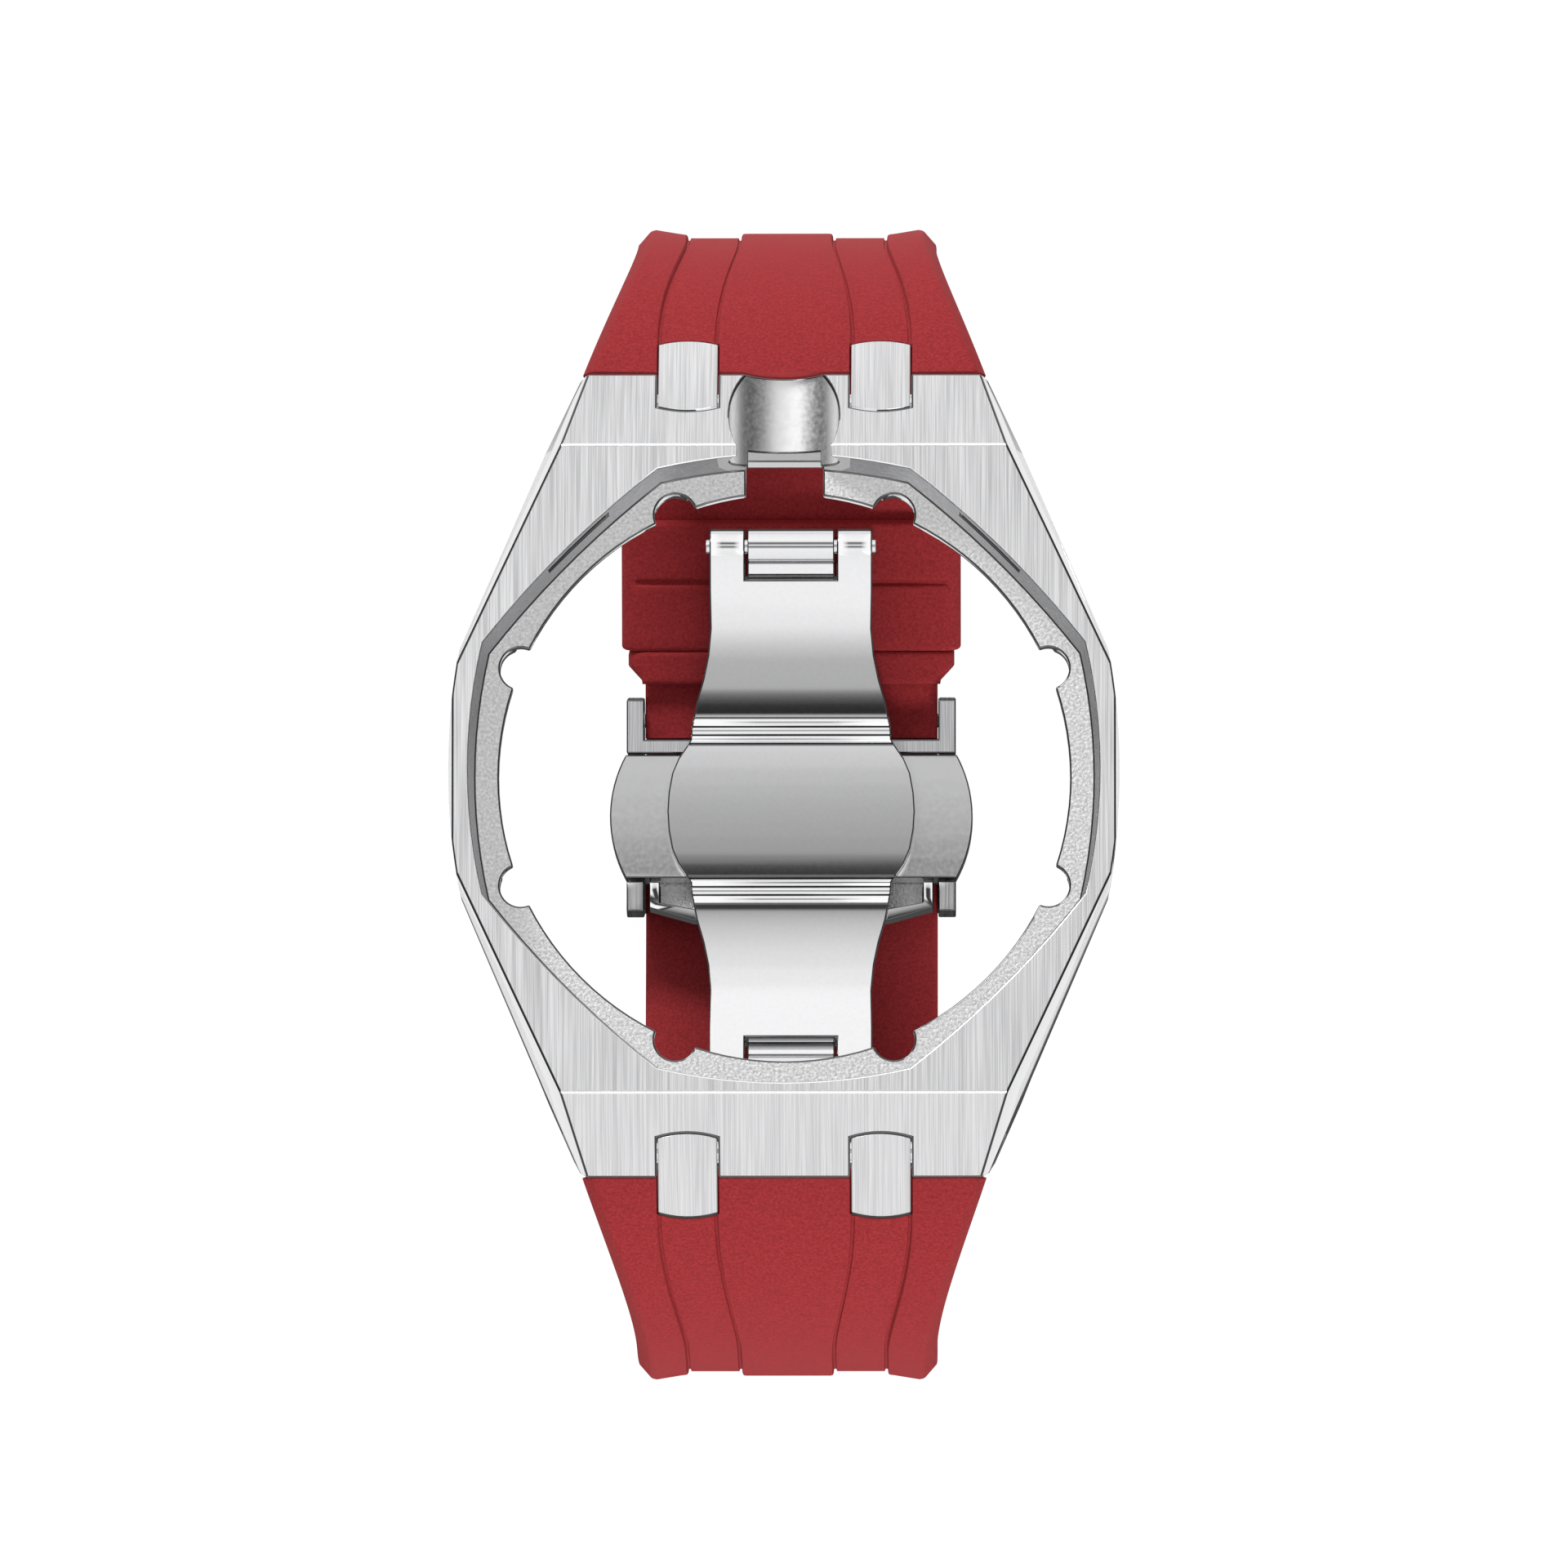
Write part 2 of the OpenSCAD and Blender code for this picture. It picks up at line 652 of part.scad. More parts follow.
// Plan of the cover: a tray with slanted corners at its 6 o'clock end
tray_half = strap_w / 2 - 0.3;
tray_end = -7.35;
module cover_plan(inset = 0) {
  top = 3.6;
  h = tray_half - inset;
  tip = tray_half - 3.05;
  e = tray_end + inset;
  translate([0, clasp_y]) polygon([
    [h, top], [h, -6.5 + inset / 2], [tip - inset / 2, e],
    [-tip + inset / 2, e], [-h, -6.5 + inset / 2], [-h, top]
  ]);
}

module cover_prism(inset = 0) {
  translate([0, 0, -clasp_depth - 20]) linear_extrude(40) cover_plan(inset);
}

// The cover carries the push buttons and joins the two walls of the buckle frame
module clasp_cover() {
  rim = 0.7;
  post = 0.5;
  shelf_from = -4.5;
  color(steel) union() {
    difference() {
      union() {
        intersection() {
          bow_band(base_top, base_bottom, -10, 6, 3 * strap_w);
          cover_prism();
        }
        bow_band(base_top, base_bottom, shelf_from, 3.55, 2 * frame_in);
      }
      bow_band(base_top - 1, base_bottom + 1, 0.6, 6, tang_w + 0.8);
    }
    difference() {
      intersection() {
        bow_band(arm_top + 0.1, base_top + 0.1, -10, -4.85, 3 * strap_w);
        cover_prism();
      }
      cover_prism(rim);
      bow_band(0, base_top, -16, -4, 2 * arm_half + 0.1);
    }
    bow_band(button_top + 0.1, base_top + 0.1, button_mid - 1.5, button_mid + 1.5, 2 * post);
  }
}

module button(side) {
  inner = arm_half + 0.1;
  dome_r = 8.8;
  pocket_r = 1.05;
  mid = (button_top + button_bottom) / 2;
  difference() {
    intersection() {
      bow_band(button_top, button_bottom, button_mid - button_len / 2, button_mid + button_len / 2, 60);
      translate([side > 0 ? inner : -inner - 10, clasp_y - 10, -clasp_depth - 8]) cube([10, 20, 12]);
      translate([side * (button_reach - dome_r), clasp_y + button_mid, -clasp_depth - 8])
        cylinder(12, r = dome_r, $fn = 180);
    }
    on_bow(button_mid, mid) rotate([0, side * 90, 0]) cylinder(inner + 1.5, r = pocket_r);
  }
}

module button_left() { color(steel) button(-1); }
module button_right() { color(steel) button(1); }

// A spring between the post of the cover and the bottom of the pocket in its button
module button_coil(side) {
  mid = (button_top + button_bottom) / 2;
  color(steel) on_bow(button_mid, mid) rotate([0, side * 90, 0]) translate([0, 0, 0.5]) difference() {
    cylinder(5.6, r = 0.85);
    translate([0, 0, -1]) cylinder(8, r = 0.6);
  }
}

module spring_left() { button_coil(-1); }
module spring_right() { button_coil(1); }

frame_from = -6.9;
frame_to = 3.65;
outer_bar_from = -5.0;
outer_bar_to = -3.4;
outer_bar_top = tail_out + 0.2;
outer_bar_bottom = outer_bar_top + 1.3;
module buckle_frame() {
  ear_to = -4.8;
  lean = atan((outer_bar_from - frame_from) / (outer_bar_bottom - base_top));
  color(steel) difference() {
    union() {
      both_sides() translate([(frame_in + frame_out) / 2, 0, 0]) {
        bow_band(base_top, outer_bar_bottom, frame_from, frame_to, frame_wall);
        bow_band(arm_top + 0.15, base_top + 0.1, frame_from, ear_to, frame_wall);
      }
      bow_band(outer_bar_top, outer_bar_bottom, outer_bar_from - 1, outer_bar_to, 2 * frame_out);
    }
    on_bow(frame_from, base_top) rotate([lean, 0, 0]) translate([-strap_w, -10, -20])
      cube([2 * strap_w, 10, 20]);
    cross_bar(tang_u, tang_depth, tang_bar_r, 40);
    bow_band(
      outer_bar_bottom - 0.55, outer_bar_bottom + 1, outer_bar_from - 2, outer_bar_to + 1, tang_w + 0.3
    );
  }
}

tang_w = 1.9;
module tang_bar() {
  color(steel) cross_bar(tang_u, tang_depth, tang_bar_r, 2 * frame_out);
}

// The tang turns on its bar, goes out through the strap and lies in the notch of the outer bar
module tang() {
  ring_r = tang_bar_r + 0.55;
  q = bow(bow_angle(tang_u), tang_depth);
  knee = bow(bow_angle(tang_u - 1.0), tail_out + 0.75);
  rest = bow(bow_angle(outer_bar_to + 0.6), outer_bar_bottom - 0.05);
  tip = bow(bow_angle(outer_bar_from - 0.4), outer_bar_bottom + 0.05);
  half = 0.5;
  color(steel) difference() {
    across(tang_w) union() {
      translate(q) circle(ring_r);
      hull() { translate(q) circle(half); translate(knee) circle(half); }
      hull() { translate(knee) circle(half); translate(rest) circle(half - 0.05); }
      hull() { translate(rest) circle(half - 0.05); translate(tip) circle(half - 0.1); }
    }
    cross_bar(tang_u, tang_depth, tang_bar_r + run, 40);
  }
}

case_body();
stud_12_left();
stud_12_right();
stud_6_left();
stud_6_right();
lug_bar_12();
lug_bar_6();
lug_screws();
strap_12();
strap_6();
fixed_keeper();
sliding_keeper();
clasp_plate();
upper_arm();
strap_bracket();
upper_hinge_pin();
spring_bar();
lower_arm();
lower_hinge_pin();
clasp_cover();
button_left();
button_right();
spring_left();
spring_right();
buckle_frame();
tang();
tang_bar();
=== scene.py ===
# Steel watch case with a red rubber strap and a folding clasp, seen from the dial side.
# The frame is the CAD model: its origin is the middle of the ledge, +Z out of the dial, +Y to 12 o'clock.
# Pieces are sized in millimetres, and MM turns them into metres. The camera, floor and lamps are in metres.
import json
import math

import bmesh
import bpy
import numpy as np
from mathutils import Matrix, Vector

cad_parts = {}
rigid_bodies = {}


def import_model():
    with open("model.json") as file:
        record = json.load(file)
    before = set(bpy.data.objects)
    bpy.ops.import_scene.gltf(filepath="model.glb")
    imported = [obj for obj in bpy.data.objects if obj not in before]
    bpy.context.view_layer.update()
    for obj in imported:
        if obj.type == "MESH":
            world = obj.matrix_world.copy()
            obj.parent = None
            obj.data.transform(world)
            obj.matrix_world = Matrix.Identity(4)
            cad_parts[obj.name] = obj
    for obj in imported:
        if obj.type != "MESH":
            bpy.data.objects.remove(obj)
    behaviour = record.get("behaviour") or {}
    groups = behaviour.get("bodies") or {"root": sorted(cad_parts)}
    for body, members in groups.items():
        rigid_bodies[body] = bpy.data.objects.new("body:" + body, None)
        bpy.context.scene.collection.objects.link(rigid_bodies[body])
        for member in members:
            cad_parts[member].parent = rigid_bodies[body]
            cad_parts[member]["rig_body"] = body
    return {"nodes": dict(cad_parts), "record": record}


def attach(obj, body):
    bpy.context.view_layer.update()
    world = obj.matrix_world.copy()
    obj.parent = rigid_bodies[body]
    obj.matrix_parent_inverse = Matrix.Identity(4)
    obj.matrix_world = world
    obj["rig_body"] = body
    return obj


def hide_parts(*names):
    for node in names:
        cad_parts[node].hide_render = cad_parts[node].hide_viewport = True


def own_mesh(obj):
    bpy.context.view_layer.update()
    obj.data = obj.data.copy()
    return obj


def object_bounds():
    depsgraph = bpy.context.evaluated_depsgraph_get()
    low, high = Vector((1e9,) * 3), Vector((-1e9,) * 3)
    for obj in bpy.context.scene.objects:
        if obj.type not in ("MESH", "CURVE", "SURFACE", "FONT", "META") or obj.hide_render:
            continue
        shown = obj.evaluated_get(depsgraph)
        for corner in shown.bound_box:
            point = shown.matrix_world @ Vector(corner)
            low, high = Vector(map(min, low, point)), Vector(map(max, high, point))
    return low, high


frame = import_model()
cad_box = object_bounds()
MM = 0.001


# Camera: a long lens high over the dial, leaning a little towards 6 o'clock, as the photograph was taken.
# The focal length and the frame's width are in pixels, and the lens follows from them.
CAMERA_FAR = 1.4
CAMERA_PITCH = math.radians(6.0)
CAMERA_YAW = math.radians(0.5)
SENSOR = 36.0
FRAME_WIDE = 1920.0
FRAME_FOCAL = 26040.0
NEAREST = 0.1
FARTHEST = 20.0
AIM = Vector((-0.03 * MM, -0.48 * MM, 0))

camera = bpy.data.objects.new("camera", bpy.data.cameras.new("camera"))
bpy.context.scene.collection.objects.link(camera)
camera.data.sensor_width = SENSOR
camera.data.lens = FRAME_FOCAL * SENSOR / FRAME_WIDE
camera.data.clip_start = NEAREST
camera.data.clip_end = FARTHEST
look_from = Vector((math.sin(CAMERA_YAW), -math.sin(CAMERA_PITCH), math.cos(CAMERA_PITCH)))
camera.location = AIM + CAMERA_FAR * look_from.normalized()
back = look_from.normalized()
right = Vector((0, 1, 0)).cross(back).normalized()
camera.rotation_euler = Matrix((right, back.cross(right), back)).transposed().to_euler()
bpy.context.scene.camera = camera
bpy.context.scene.view_settings.view_transform = "Standard"


# Table top: a white sheet under the watch. The camera sees it white, with a faint shadow of the watch.
# Polished steel sees it white too, but with a painted shadow right under the watch and a painted fall-off to
# dark farther out.
FLOOR_GAP = 0.05 * MM
FLOOR_HALF = 1.2
FLOOR_GREY = 0.8
FLOOR_ROUGH = 0.9
FLOOR_SEEN = 1.05
FLOOR_SEEN_SHARE = 0.94
FLOOR_REACH = 0.25
FLOOR_SHAPE = (1, 0.4, 0)
# How bright polished steel sees the table, from its middle out: a painted fall-off of light.
FLOOR_PAINTED_FALLOFF_IN_STEEL = ((0.0, 0.95), (0.4, 0.95), (0.6, 0.5), (1.0, 0.08))
# A box right under the watch where polished steel sees a painted shadow on the table, and how much light it
# leaves there.
PAINTED_SHADOW_ZONE = (("X", 0.026, 0.032), ("Y", 0.046, 0.056))
PAINTED_SHADOW_LIGHT = 0.07


def material(name):
    """A new material, its nodes and its shader."""
    made = bpy.data.materials.new(name)
    made.use_nodes = True
    shader = made.node_tree.nodes["Principled BSDF"]
    return made, made.node_tree, shader


def set_steps(steps, stops):
    """Places grey stops on a colour ramp: each is a position and a brightness."""
    (start, dark), (end, light) = stops[0], stops[-1]
    steps.elements[0].position, steps.elements[1].position = start, end
    steps.elements[0].color, steps.elements[1].color = (dark, dark, dark, 1), (light, light, light, 1)
    for at, light in stops[1:-1]:
        steps.elements.new(at).color = (light, light, light, 1)


floor_mesh = bpy.data.meshes.new("table_top")
floor_z = cad_box[0].z - FLOOR_GAP
corners = [(x * FLOOR_HALF, y * FLOOR_HALF, floor_z) for x, y in ((-1, -1), (1, -1), (1, 1), (-1, 1))]
floor_mesh.from_pydata(corners, [], [(0, 1, 2, 3)])
floor = bpy.data.objects.new("table_top", floor_mesh)
bpy.context.scene.collection.objects.link(floor)
floor_paint, tree, shader = material("white_table_top")
shader.inputs["Base Color"].default_value = (FLOOR_GREY, FLOOR_GREY, FLOOR_GREY, 1)
shader.inputs["Roughness"].default_value = FLOOR_ROUGH
path = tree.nodes.new("ShaderNodeLightPath")
spot = tree.nodes.new("ShaderNodeTexCoord")
flat = tree.nodes.new("ShaderNodeVectorMath")
flat.operation = "MULTIPLY"
flat.inputs[1].default_value = FLOOR_SHAPE
reach = tree.nodes.new("ShaderNodeVectorMath")
reach.operation = "LENGTH"
fade_out = tree.nodes.new("ShaderNodeValToRGB")
set_steps(fade_out.color_ramp, FLOOR_PAINTED_FALLOFF_IN_STEEL)
scaled = tree.nodes.new("ShaderNodeMath")
scaled.operation = "MULTIPLY"
scaled.inputs[1].default_value = 1 / FLOOR_REACH
tree.links.new(spot.outputs["Object"], flat.inputs[0])
tree.links.new(flat.outputs["Vector"], reach.inputs[0])
tree.links.new(reach.outputs["Value"], scaled.inputs[0])
tree.links.new(scaled.outputs[0], fade_out.inputs["Fac"])
seen_white = tree.nodes.new("ShaderNodeEmission")
seen_white.inputs["Strength"].default_value = FLOOR_SEEN
in_steel = tree.nodes.new("ShaderNodeEmission")
parts = tree.nodes.new("ShaderNodeSeparateXYZ")
tree.links.new(spot.outputs["Object"], parts.inputs[0])
# The painted shadow: to steel the table is dark inside the box under the watch and lit outside it.
lit = tree.nodes.new("ShaderNodeMath")
lit.operation = "MAXIMUM"
for side, (axis, start, end) in enumerate(PAINTED_SHADOW_ZONE):
    away = tree.nodes.new("ShaderNodeMath")
    away.operation = "ABSOLUTE"
    border = tree.nodes.new("ShaderNodeMapRange")
    border.inputs["From Min"].default_value = start
    border.inputs["From Max"].default_value = end
    border.inputs["To Min"].default_value = PAINTED_SHADOW_LIGHT
    tree.links.new(parts.outputs[axis], away.inputs[0])
    tree.links.new(away.outputs[0], border.inputs["Value"])
    tree.links.new(border.outputs["Result"], lit.inputs[side])
tree.links.new(lit.outputs[0], in_steel.inputs["Strength"])
tree.links.new(fade_out.outputs["Color"], in_steel.inputs["Color"])
to_camera = tree.nodes.new("ShaderNodeMath")
to_camera.operation = "MULTIPLY"
to_camera.inputs[1].default_value = FLOOR_SEEN_SHARE
steel_mix = tree.nodes.new("ShaderNodeMixShader")
camera_mix = tree.nodes.new("ShaderNodeMixShader")
tree.links.new(path.outputs["Is Glossy Ray"], steel_mix.inputs[0])
tree.links.new(shader.outputs[0], steel_mix.inputs[1])
tree.links.new(in_steel.outputs[0], steel_mix.inputs[2])
tree.links.new(path.outputs["Is Camera Ray"], to_camera.inputs[0])
tree.links.new(to_camera.outputs[0], camera_mix.inputs[0])
tree.links.new(steel_mix.outputs[0], camera_mix.inputs[1])
tree.links.new(seen_white.outputs[0], camera_mix.inputs[2])
tree.links.new(camera_mix.outputs[0], tree.nodes["Material Output"].inputs[0])
floor_mesh.materials.append(floor_paint)


# Studio: a soft tent of light. Over the dial it has a narrow panel with two dark gaps, one where the camera
# looks in and one nearer 12 o'clock. Beside the panel it is white, and it darkens to the left and right.
# Rubber gets a low even light. Two softboxes light the steel, and two that hang lower light the rubber.
PANEL_ARCH = (
    (-90, 0.95), (-40, 1.0), (-24, 1.04), (-20, 0.95), (-17, 0.66), (-15.3, 0.52), (-11.2, 0.5),
    (-10.4, 0.14), (-9, 0.03), (-6.2, 0.03), (-4.5, 0.7), (-3, 0.9), (0, 0.72), (5, 0.57), (9, 0.5),
    (12.0, 0.44), (12.9, 0.25), (13.7, 0.05), (18.4, 0.05), (20, 0.45), (22.5, 0.68), (25.5, 0.84),
    (33, 1.1), (60, 1.05), (90, 0.95),
)
ARCH_FROM = -90
ARCH_TO = 90
TENT_SIDE = ((0.0, 1.2), (0.28, 1.15), (0.42, 0.4), (0.7, 0.16), (0.9, 0.07), (1.0, 0.05))
PANEL_EDGE = (0.1, 0.2)
TENT_ON_RUBBER = (0.27, 0.27, 0.27, 1)
WHITE = (1, 1, 1, 1)
LAMP_AIM = Vector((0, 0, -0.02))
STEEL_SOFTBOXES = (((-0.45, 0.55, 0.6), 4.2), ((0.3, -0.6, 0.6), 0.5))
STEEL_SOFTBOX_WIDE = 0.3
RUBBER_SOFTBOXES = (((-0.1, 0.66, 0.47), 3.65), ((0.1, -0.66, 0.47), 3.4))
RUBBER_SOFTBOX_WIDE = 0.2


def ramp(tree, stops, low, high, value):
    """Grey steps of light over a value between low and high."""
    to = tree.nodes.new("ShaderNodeMapRange")
    to.inputs["From Min"].default_value = low
    to.inputs["From Max"].default_value = high
    tree.links.new(value, to.inputs["Value"])
    steps = tree.nodes.new("ShaderNodeValToRGB")
    set_steps(steps.color_ramp, [((at - low) / (high - low), light) for at, light in stops])
    tree.links.new(to.outputs["Result"], steps.inputs["Fac"])
    return steps.outputs["Color"]


def mixed(tree, factor, a, b):
    """A colour between a and b, each of them a colour or a socket."""
    mix = tree.nodes.new("ShaderNodeMix")
    mix.data_type = "RGBA"
    tree.links.new(factor, mix.inputs["Factor"])
    for value, socket in ((a, "A"), (b, "B")):
        if isinstance(value, tuple):
            mix.inputs[socket].default_value = value
        else:
            tree.links.new(value, mix.inputs[socket])
    return mix.outputs["Result"]


tent = bpy.data.worlds.new("light_tent")
bpy.context.scene.world = tent
tent.use_nodes = True
tree = tent.node_tree
sky = tree.nodes["Background"]
sky.inputs["Strength"].default_value = 1.0
where = tree.nodes.new("ShaderNodeTexCoord")
split = tree.nodes.new("ShaderNodeSeparateXYZ")
tree.links.new(where.outputs["Generated"], split.inputs[0])

# The panel's light goes by the degrees from straight overhead, up to 90 at 12 o'clock and down to -90 at
# 6 o'clock. The tent's light goes by how far a direction lies out to the side, from 0 to 1.
arch = tree.nodes.new("ShaderNodeMath")
arch.operation = "ARCTAN2"
tree.links.new(split.outputs["Y"], arch.inputs[0])
tree.links.new(split.outputs["Z"], arch.inputs[1])
degrees = tree.nodes.new("ShaderNodeMath")
degrees.operation = "DEGREES"
tree.links.new(arch.outputs[0], degrees.inputs[0])
aside = tree.nodes.new("ShaderNodeMath")
aside.operation = "ABSOLUTE"
tree.links.new(split.outputs["X"], aside.inputs[0])
panel = ramp(tree, PANEL_ARCH, ARCH_FROM, ARCH_TO, degrees.outputs[0])
sides = ramp(tree, TENT_SIDE, 0, 1, aside.outputs[0])
off_panel = tree.nodes.new("ShaderNodeMapRange")
off_panel.inputs["From Min"].default_value, off_panel.inputs["From Max"].default_value = PANEL_EDGE
tree.links.new(aside.outputs[0], off_panel.inputs["Value"])
light = mixed(tree, off_panel.outputs["Result"], panel, sides)
behind = tree.nodes.new("ShaderNodeLightPath")
light = mixed(tree, behind.outputs["Is Glossy Ray"], TENT_ON_RUBBER, light)
tree.links.new(mixed(tree, behind.outputs["Is Camera Ray"], light, WHITE), sky.inputs["Color"])


def lamp(name, place, size, power):
    """A square softbox that faces the watch."""
    light = bpy.data.lights.new(name, "AREA")
    light.shape = "SQUARE"
    light.size = size
    light.energy = power
    made = bpy.data.objects.new(name, light)
    made.location = place
    made.rotation_euler = (LAMP_AIM - Vector(place)).to_track_quat("-Z", "Y").to_euler()
    bpy.context.scene.collection.objects.link(made)
    return made


for place, power in STEEL_SOFTBOXES:
    high = lamp("softbox_on_steel", place, STEEL_SOFTBOX_WIDE, power)
    high.visible_diffuse = False
for place, power in RUBBER_SOFTBOXES:
    low = lamp("softbox_on_rubber", place, RUBBER_SOFTBOX_WIDE, power)
    low.visible_glossy = False


# Case: one milled piece of steel. The front and the end facets are brushed along the watch. The sides, the
# long bevels and the back are polished, the ledge is blasted, and the crown channel is satin. The pocket
# walls are a dark satin steel, which is painted shade, and the four clip slots are near black, a painted
# shadow. The rounded edges are dark steel, a painted dark reflection, and those round the pocket and at the
# end facets' creases get a painted highlight. The clasp does not mirror the case, as in the photograph.
CASE_EDGE = 0.12
BRUSHED, POLISHED, BLASTED, WALL, CLIP_SLOT, CHANNEL = range(6)
SLOT_SPAN = 6
SLOT_REACH = 28.95
SLOT_LOW = 3.1
SLOT_HIGH = 4.7
CHANNEL_HALF = 3.8
CHANNEL_FROM = 19.5
CHANNEL_TOP = 5.5
FRONT_LOW = 5
WALL_TOP = 5.7
RIM_LOW = 4

# How square a face lies to an axis, as the cosine of its normal, tells the faces apart.
LEVEL = 0.9
SQUARE_ON = 0.95
FACES_UP = 0.97
FACET_ALONG = 0.55
FACET_UP = 0.6
UNDERCUT = -0.4
RIM_UP = 0.5
RIM_OUT = 0.2

# Grains per metre. Along the watch they are drawn out into scratches, and elsewhere they are wear and pits.
BRUSH_GRAIN = 13000
WEAR_GRAIN = 3500
PIT_GRAIN = 5200
ALONG = (1.05, 0.01, 0.01)
SCRATCH_DEPTH = 0.002 * MM
SCRATCH_SPAN = (0.34, 0.66)
PIT_DEPTH = 0.05 * MM
BRUSHED_ROUGH = (0.34, 0.46)
BLASTED_ROUGH = (0.42, 0.6)
WEAR_ROUGH = (0.85, 1.15)
WEAR_DARK = 0.97

# Points this near are one point, and faces this flat are one face. An edge that turns by more than SHARP
# degrees is rounded, and one that turns by more than FINISHED_SMOOTH degrees stays a crease.
SAME_POINT = 1e-6
SAME_PLANE = math.radians(0.5)
SHARP = 30
EDGE_STEPS = 3
FINISHED_SMOOTH = 46
slots = {part["node"]: part["material_slot"] for part in frame["record"]["subparts"]}


def noise(tree, scale, detail, stretch=(1, 1, 1)):
    """Grain that stays fixed to the piece, so many to the metre."""
    place = tree.nodes.new("ShaderNodeTexCoord")
    mapping = tree.nodes.new("ShaderNodeMapping")
    mapping.inputs["Scale"].default_value = stretch
    grain = tree.nodes.new("ShaderNodeTexNoise")
    grain.inputs["Scale"].default_value = scale
    grain.inputs["Detail"].default_value = detail
    tree.links.new(place.outputs["Object"], mapping.inputs["Vector"])
    tree.links.new(mapping.outputs["Vector"], grain.inputs["Vector"])
    return grain.outputs["Fac"]


def spread(tree, value, low, high, start=0.3, end=0.7):
    """Grain from start to end, spread out from low to high."""
    to = tree.nodes.new("ShaderNodeMapRange")
    to.inputs["From Min"].default_value = start
    to.inputs["From Max"].default_value = end
    to.inputs["To Min"].default_value = low
    to.inputs["To Max"].default_value = high
    tree.links.new(value, to.inputs["Value"])
    return to.outputs["Result"]


def tint(tree, shader, value, dark, light, start=0.3, end=0.7):
    """Colours a material from dark to light by its grain."""
    share = spread(tree, value, 0, 1, start, end)
    tree.links.new(mixed(tree, share, (*dark, 1), (*light, 1)), shader.inputs["Base Color"])


def emboss(tree, shader, value, depth, strength):
    """Makes the grain of a material stand out to a depth."""
    bump = tree.nodes.new("ShaderNodeBump")
    bump.inputs["Distance"].default_value = depth
    bump.inputs["Strength"].default_value = strength
    tree.links.new(value, bump.inputs["Height"])
    tree.links.new(bump.outputs["Normal"], shader.inputs["Normal"])


def brushed(name, dark=(0.66, 0.66, 0.67), light=(0.91, 0.91, 0.92)):
    """Steel with fine straight scratches from 12 to 6 o'clock."""
    made, tree, shader = material(name)
    shader.inputs["Metallic"].default_value = 1.0
    streaks = noise(tree, BRUSH_GRAIN, detail=2.0, stretch=ALONG)
    tint(tree, shader, streaks, dark, light, *SCRATCH_SPAN)
    tree.links.new(spread(tree, streaks, *BRUSHED_ROUGH), shader.inputs["Roughness"])
    emboss(tree, shader, streaks, SCRATCH_DEPTH, strength=0.4)
    return made


def polished(name, base=(0.84, 0.84, 0.85), rough=0.07):
    """Steel with faint wear, a mirror if rough is low and satin if it is high."""
    made, tree, shader = material(name)
    shader.inputs["Metallic"].default_value = 1.0
    wear = noise(tree, WEAR_GRAIN, detail=3.0)
    tint(tree, shader, wear, tuple(WEAR_DARK * v for v in base), base)
    low, high = (rough * share for share in WEAR_ROUGH)
    tree.links.new(spread(tree, wear, low, high), shader.inputs["Roughness"])
    return made


def blasted(name, dark=(0.58, 0.58, 0.58), light=(0.95, 0.95, 0.95)):
    """Steel with fine pits."""
    made, tree, shader = material(name)
    shader.inputs["Metallic"].default_value = 1.0
    pits = noise(tree, PIT_GRAIN, detail=2.0)
    tint(tree, shader, pits, dark, light)
    tree.links.new(spread(tree, pits, *BLASTED_ROUGH), shader.inputs["Roughness"])
    emboss(tree, shader, pits, PIT_DEPTH, strength=0.9)
    return made


def apply_steps(made):
    """Turns a piece's modifiers into its mesh."""
    view = bpy.context.evaluated_depsgraph_get()
    old = made.data
    made.data = bpy.data.meshes.new_from_object(made.evaluated_get(view))
    made.modifiers.clear()
    bpy.data.meshes.remove(old)


def soften(made, angle):
    """Smooth shading, but sharp along edges that turn by more than the angle."""
    work = bmesh.new()
    work.from_mesh(made.data)
    limit = math.radians(angle)
    for face in work.faces:
        face.smooth = True
    for edge in work.edges:
        edge.smooth = len(edge.link_faces) == 2 and edge.calc_face_angle(0) < limit
    work.to_mesh(made.data)
    work.free()
    return made


def finished(node, looks, pick, edge, rim=None, bright=None):
    """A CAD piece with its edges rounded. pick gives each face one of the looks, from its normal and middle.
    rim is the look of the edges, in use a dark steel that is a painted dark reflection, but those that bright
    picks get the last of the looks, in use a painted highlight."""
    source = frame["nodes"][node]
    work = bmesh.new()
    work.from_mesh(source.data)
    work.transform(source.matrix_world)
    bmesh.ops.remove_doubles(work, verts=work.verts, dist=SAME_POINT)
    bmesh.ops.dissolve_limit(
        work, angle_limit=SAME_PLANE, verts=work.verts, edges=work.edges, delimit={"NORMAL"}
    )
    for face in work.faces:
        face.material_index = pick(face.normal, face.calc_center_median() / MM)
    mesh = bpy.data.meshes.new("finished_" + node)
    work.to_mesh(mesh)
    work.free()
    for look in (*looks, rim) if rim else looks:
        mesh.materials.append(look)
    made = bpy.data.objects.new("finished_" + node, mesh)
    bpy.context.scene.collection.objects.link(made)
    round_off = made.modifiers.new("edges", "BEVEL")
    round_off.width = edge * MM
    round_off.segments = EDGE_STEPS
    round_off.limit_method = "ANGLE"
    round_off.angle_limit = math.radians(SHARP)
    round_off.use_clamp_overlap = False
    round_off.material = len(looks) if rim else -1
    apply_steps(made)
    for face in made.data.polygons:
        if bright and face.material_index == len(looks) and bright(face.normal, face.center / MM):
            face.material_index = len(looks) - 1
    soften(made, FINISHED_SMOOTH)
    made.modifiers.new("flat_faces", "WEIGHTED_NORMAL").keep_sharp = True
    apply_steps(made)
    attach(made, source["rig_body"])
    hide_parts(node)
    return made


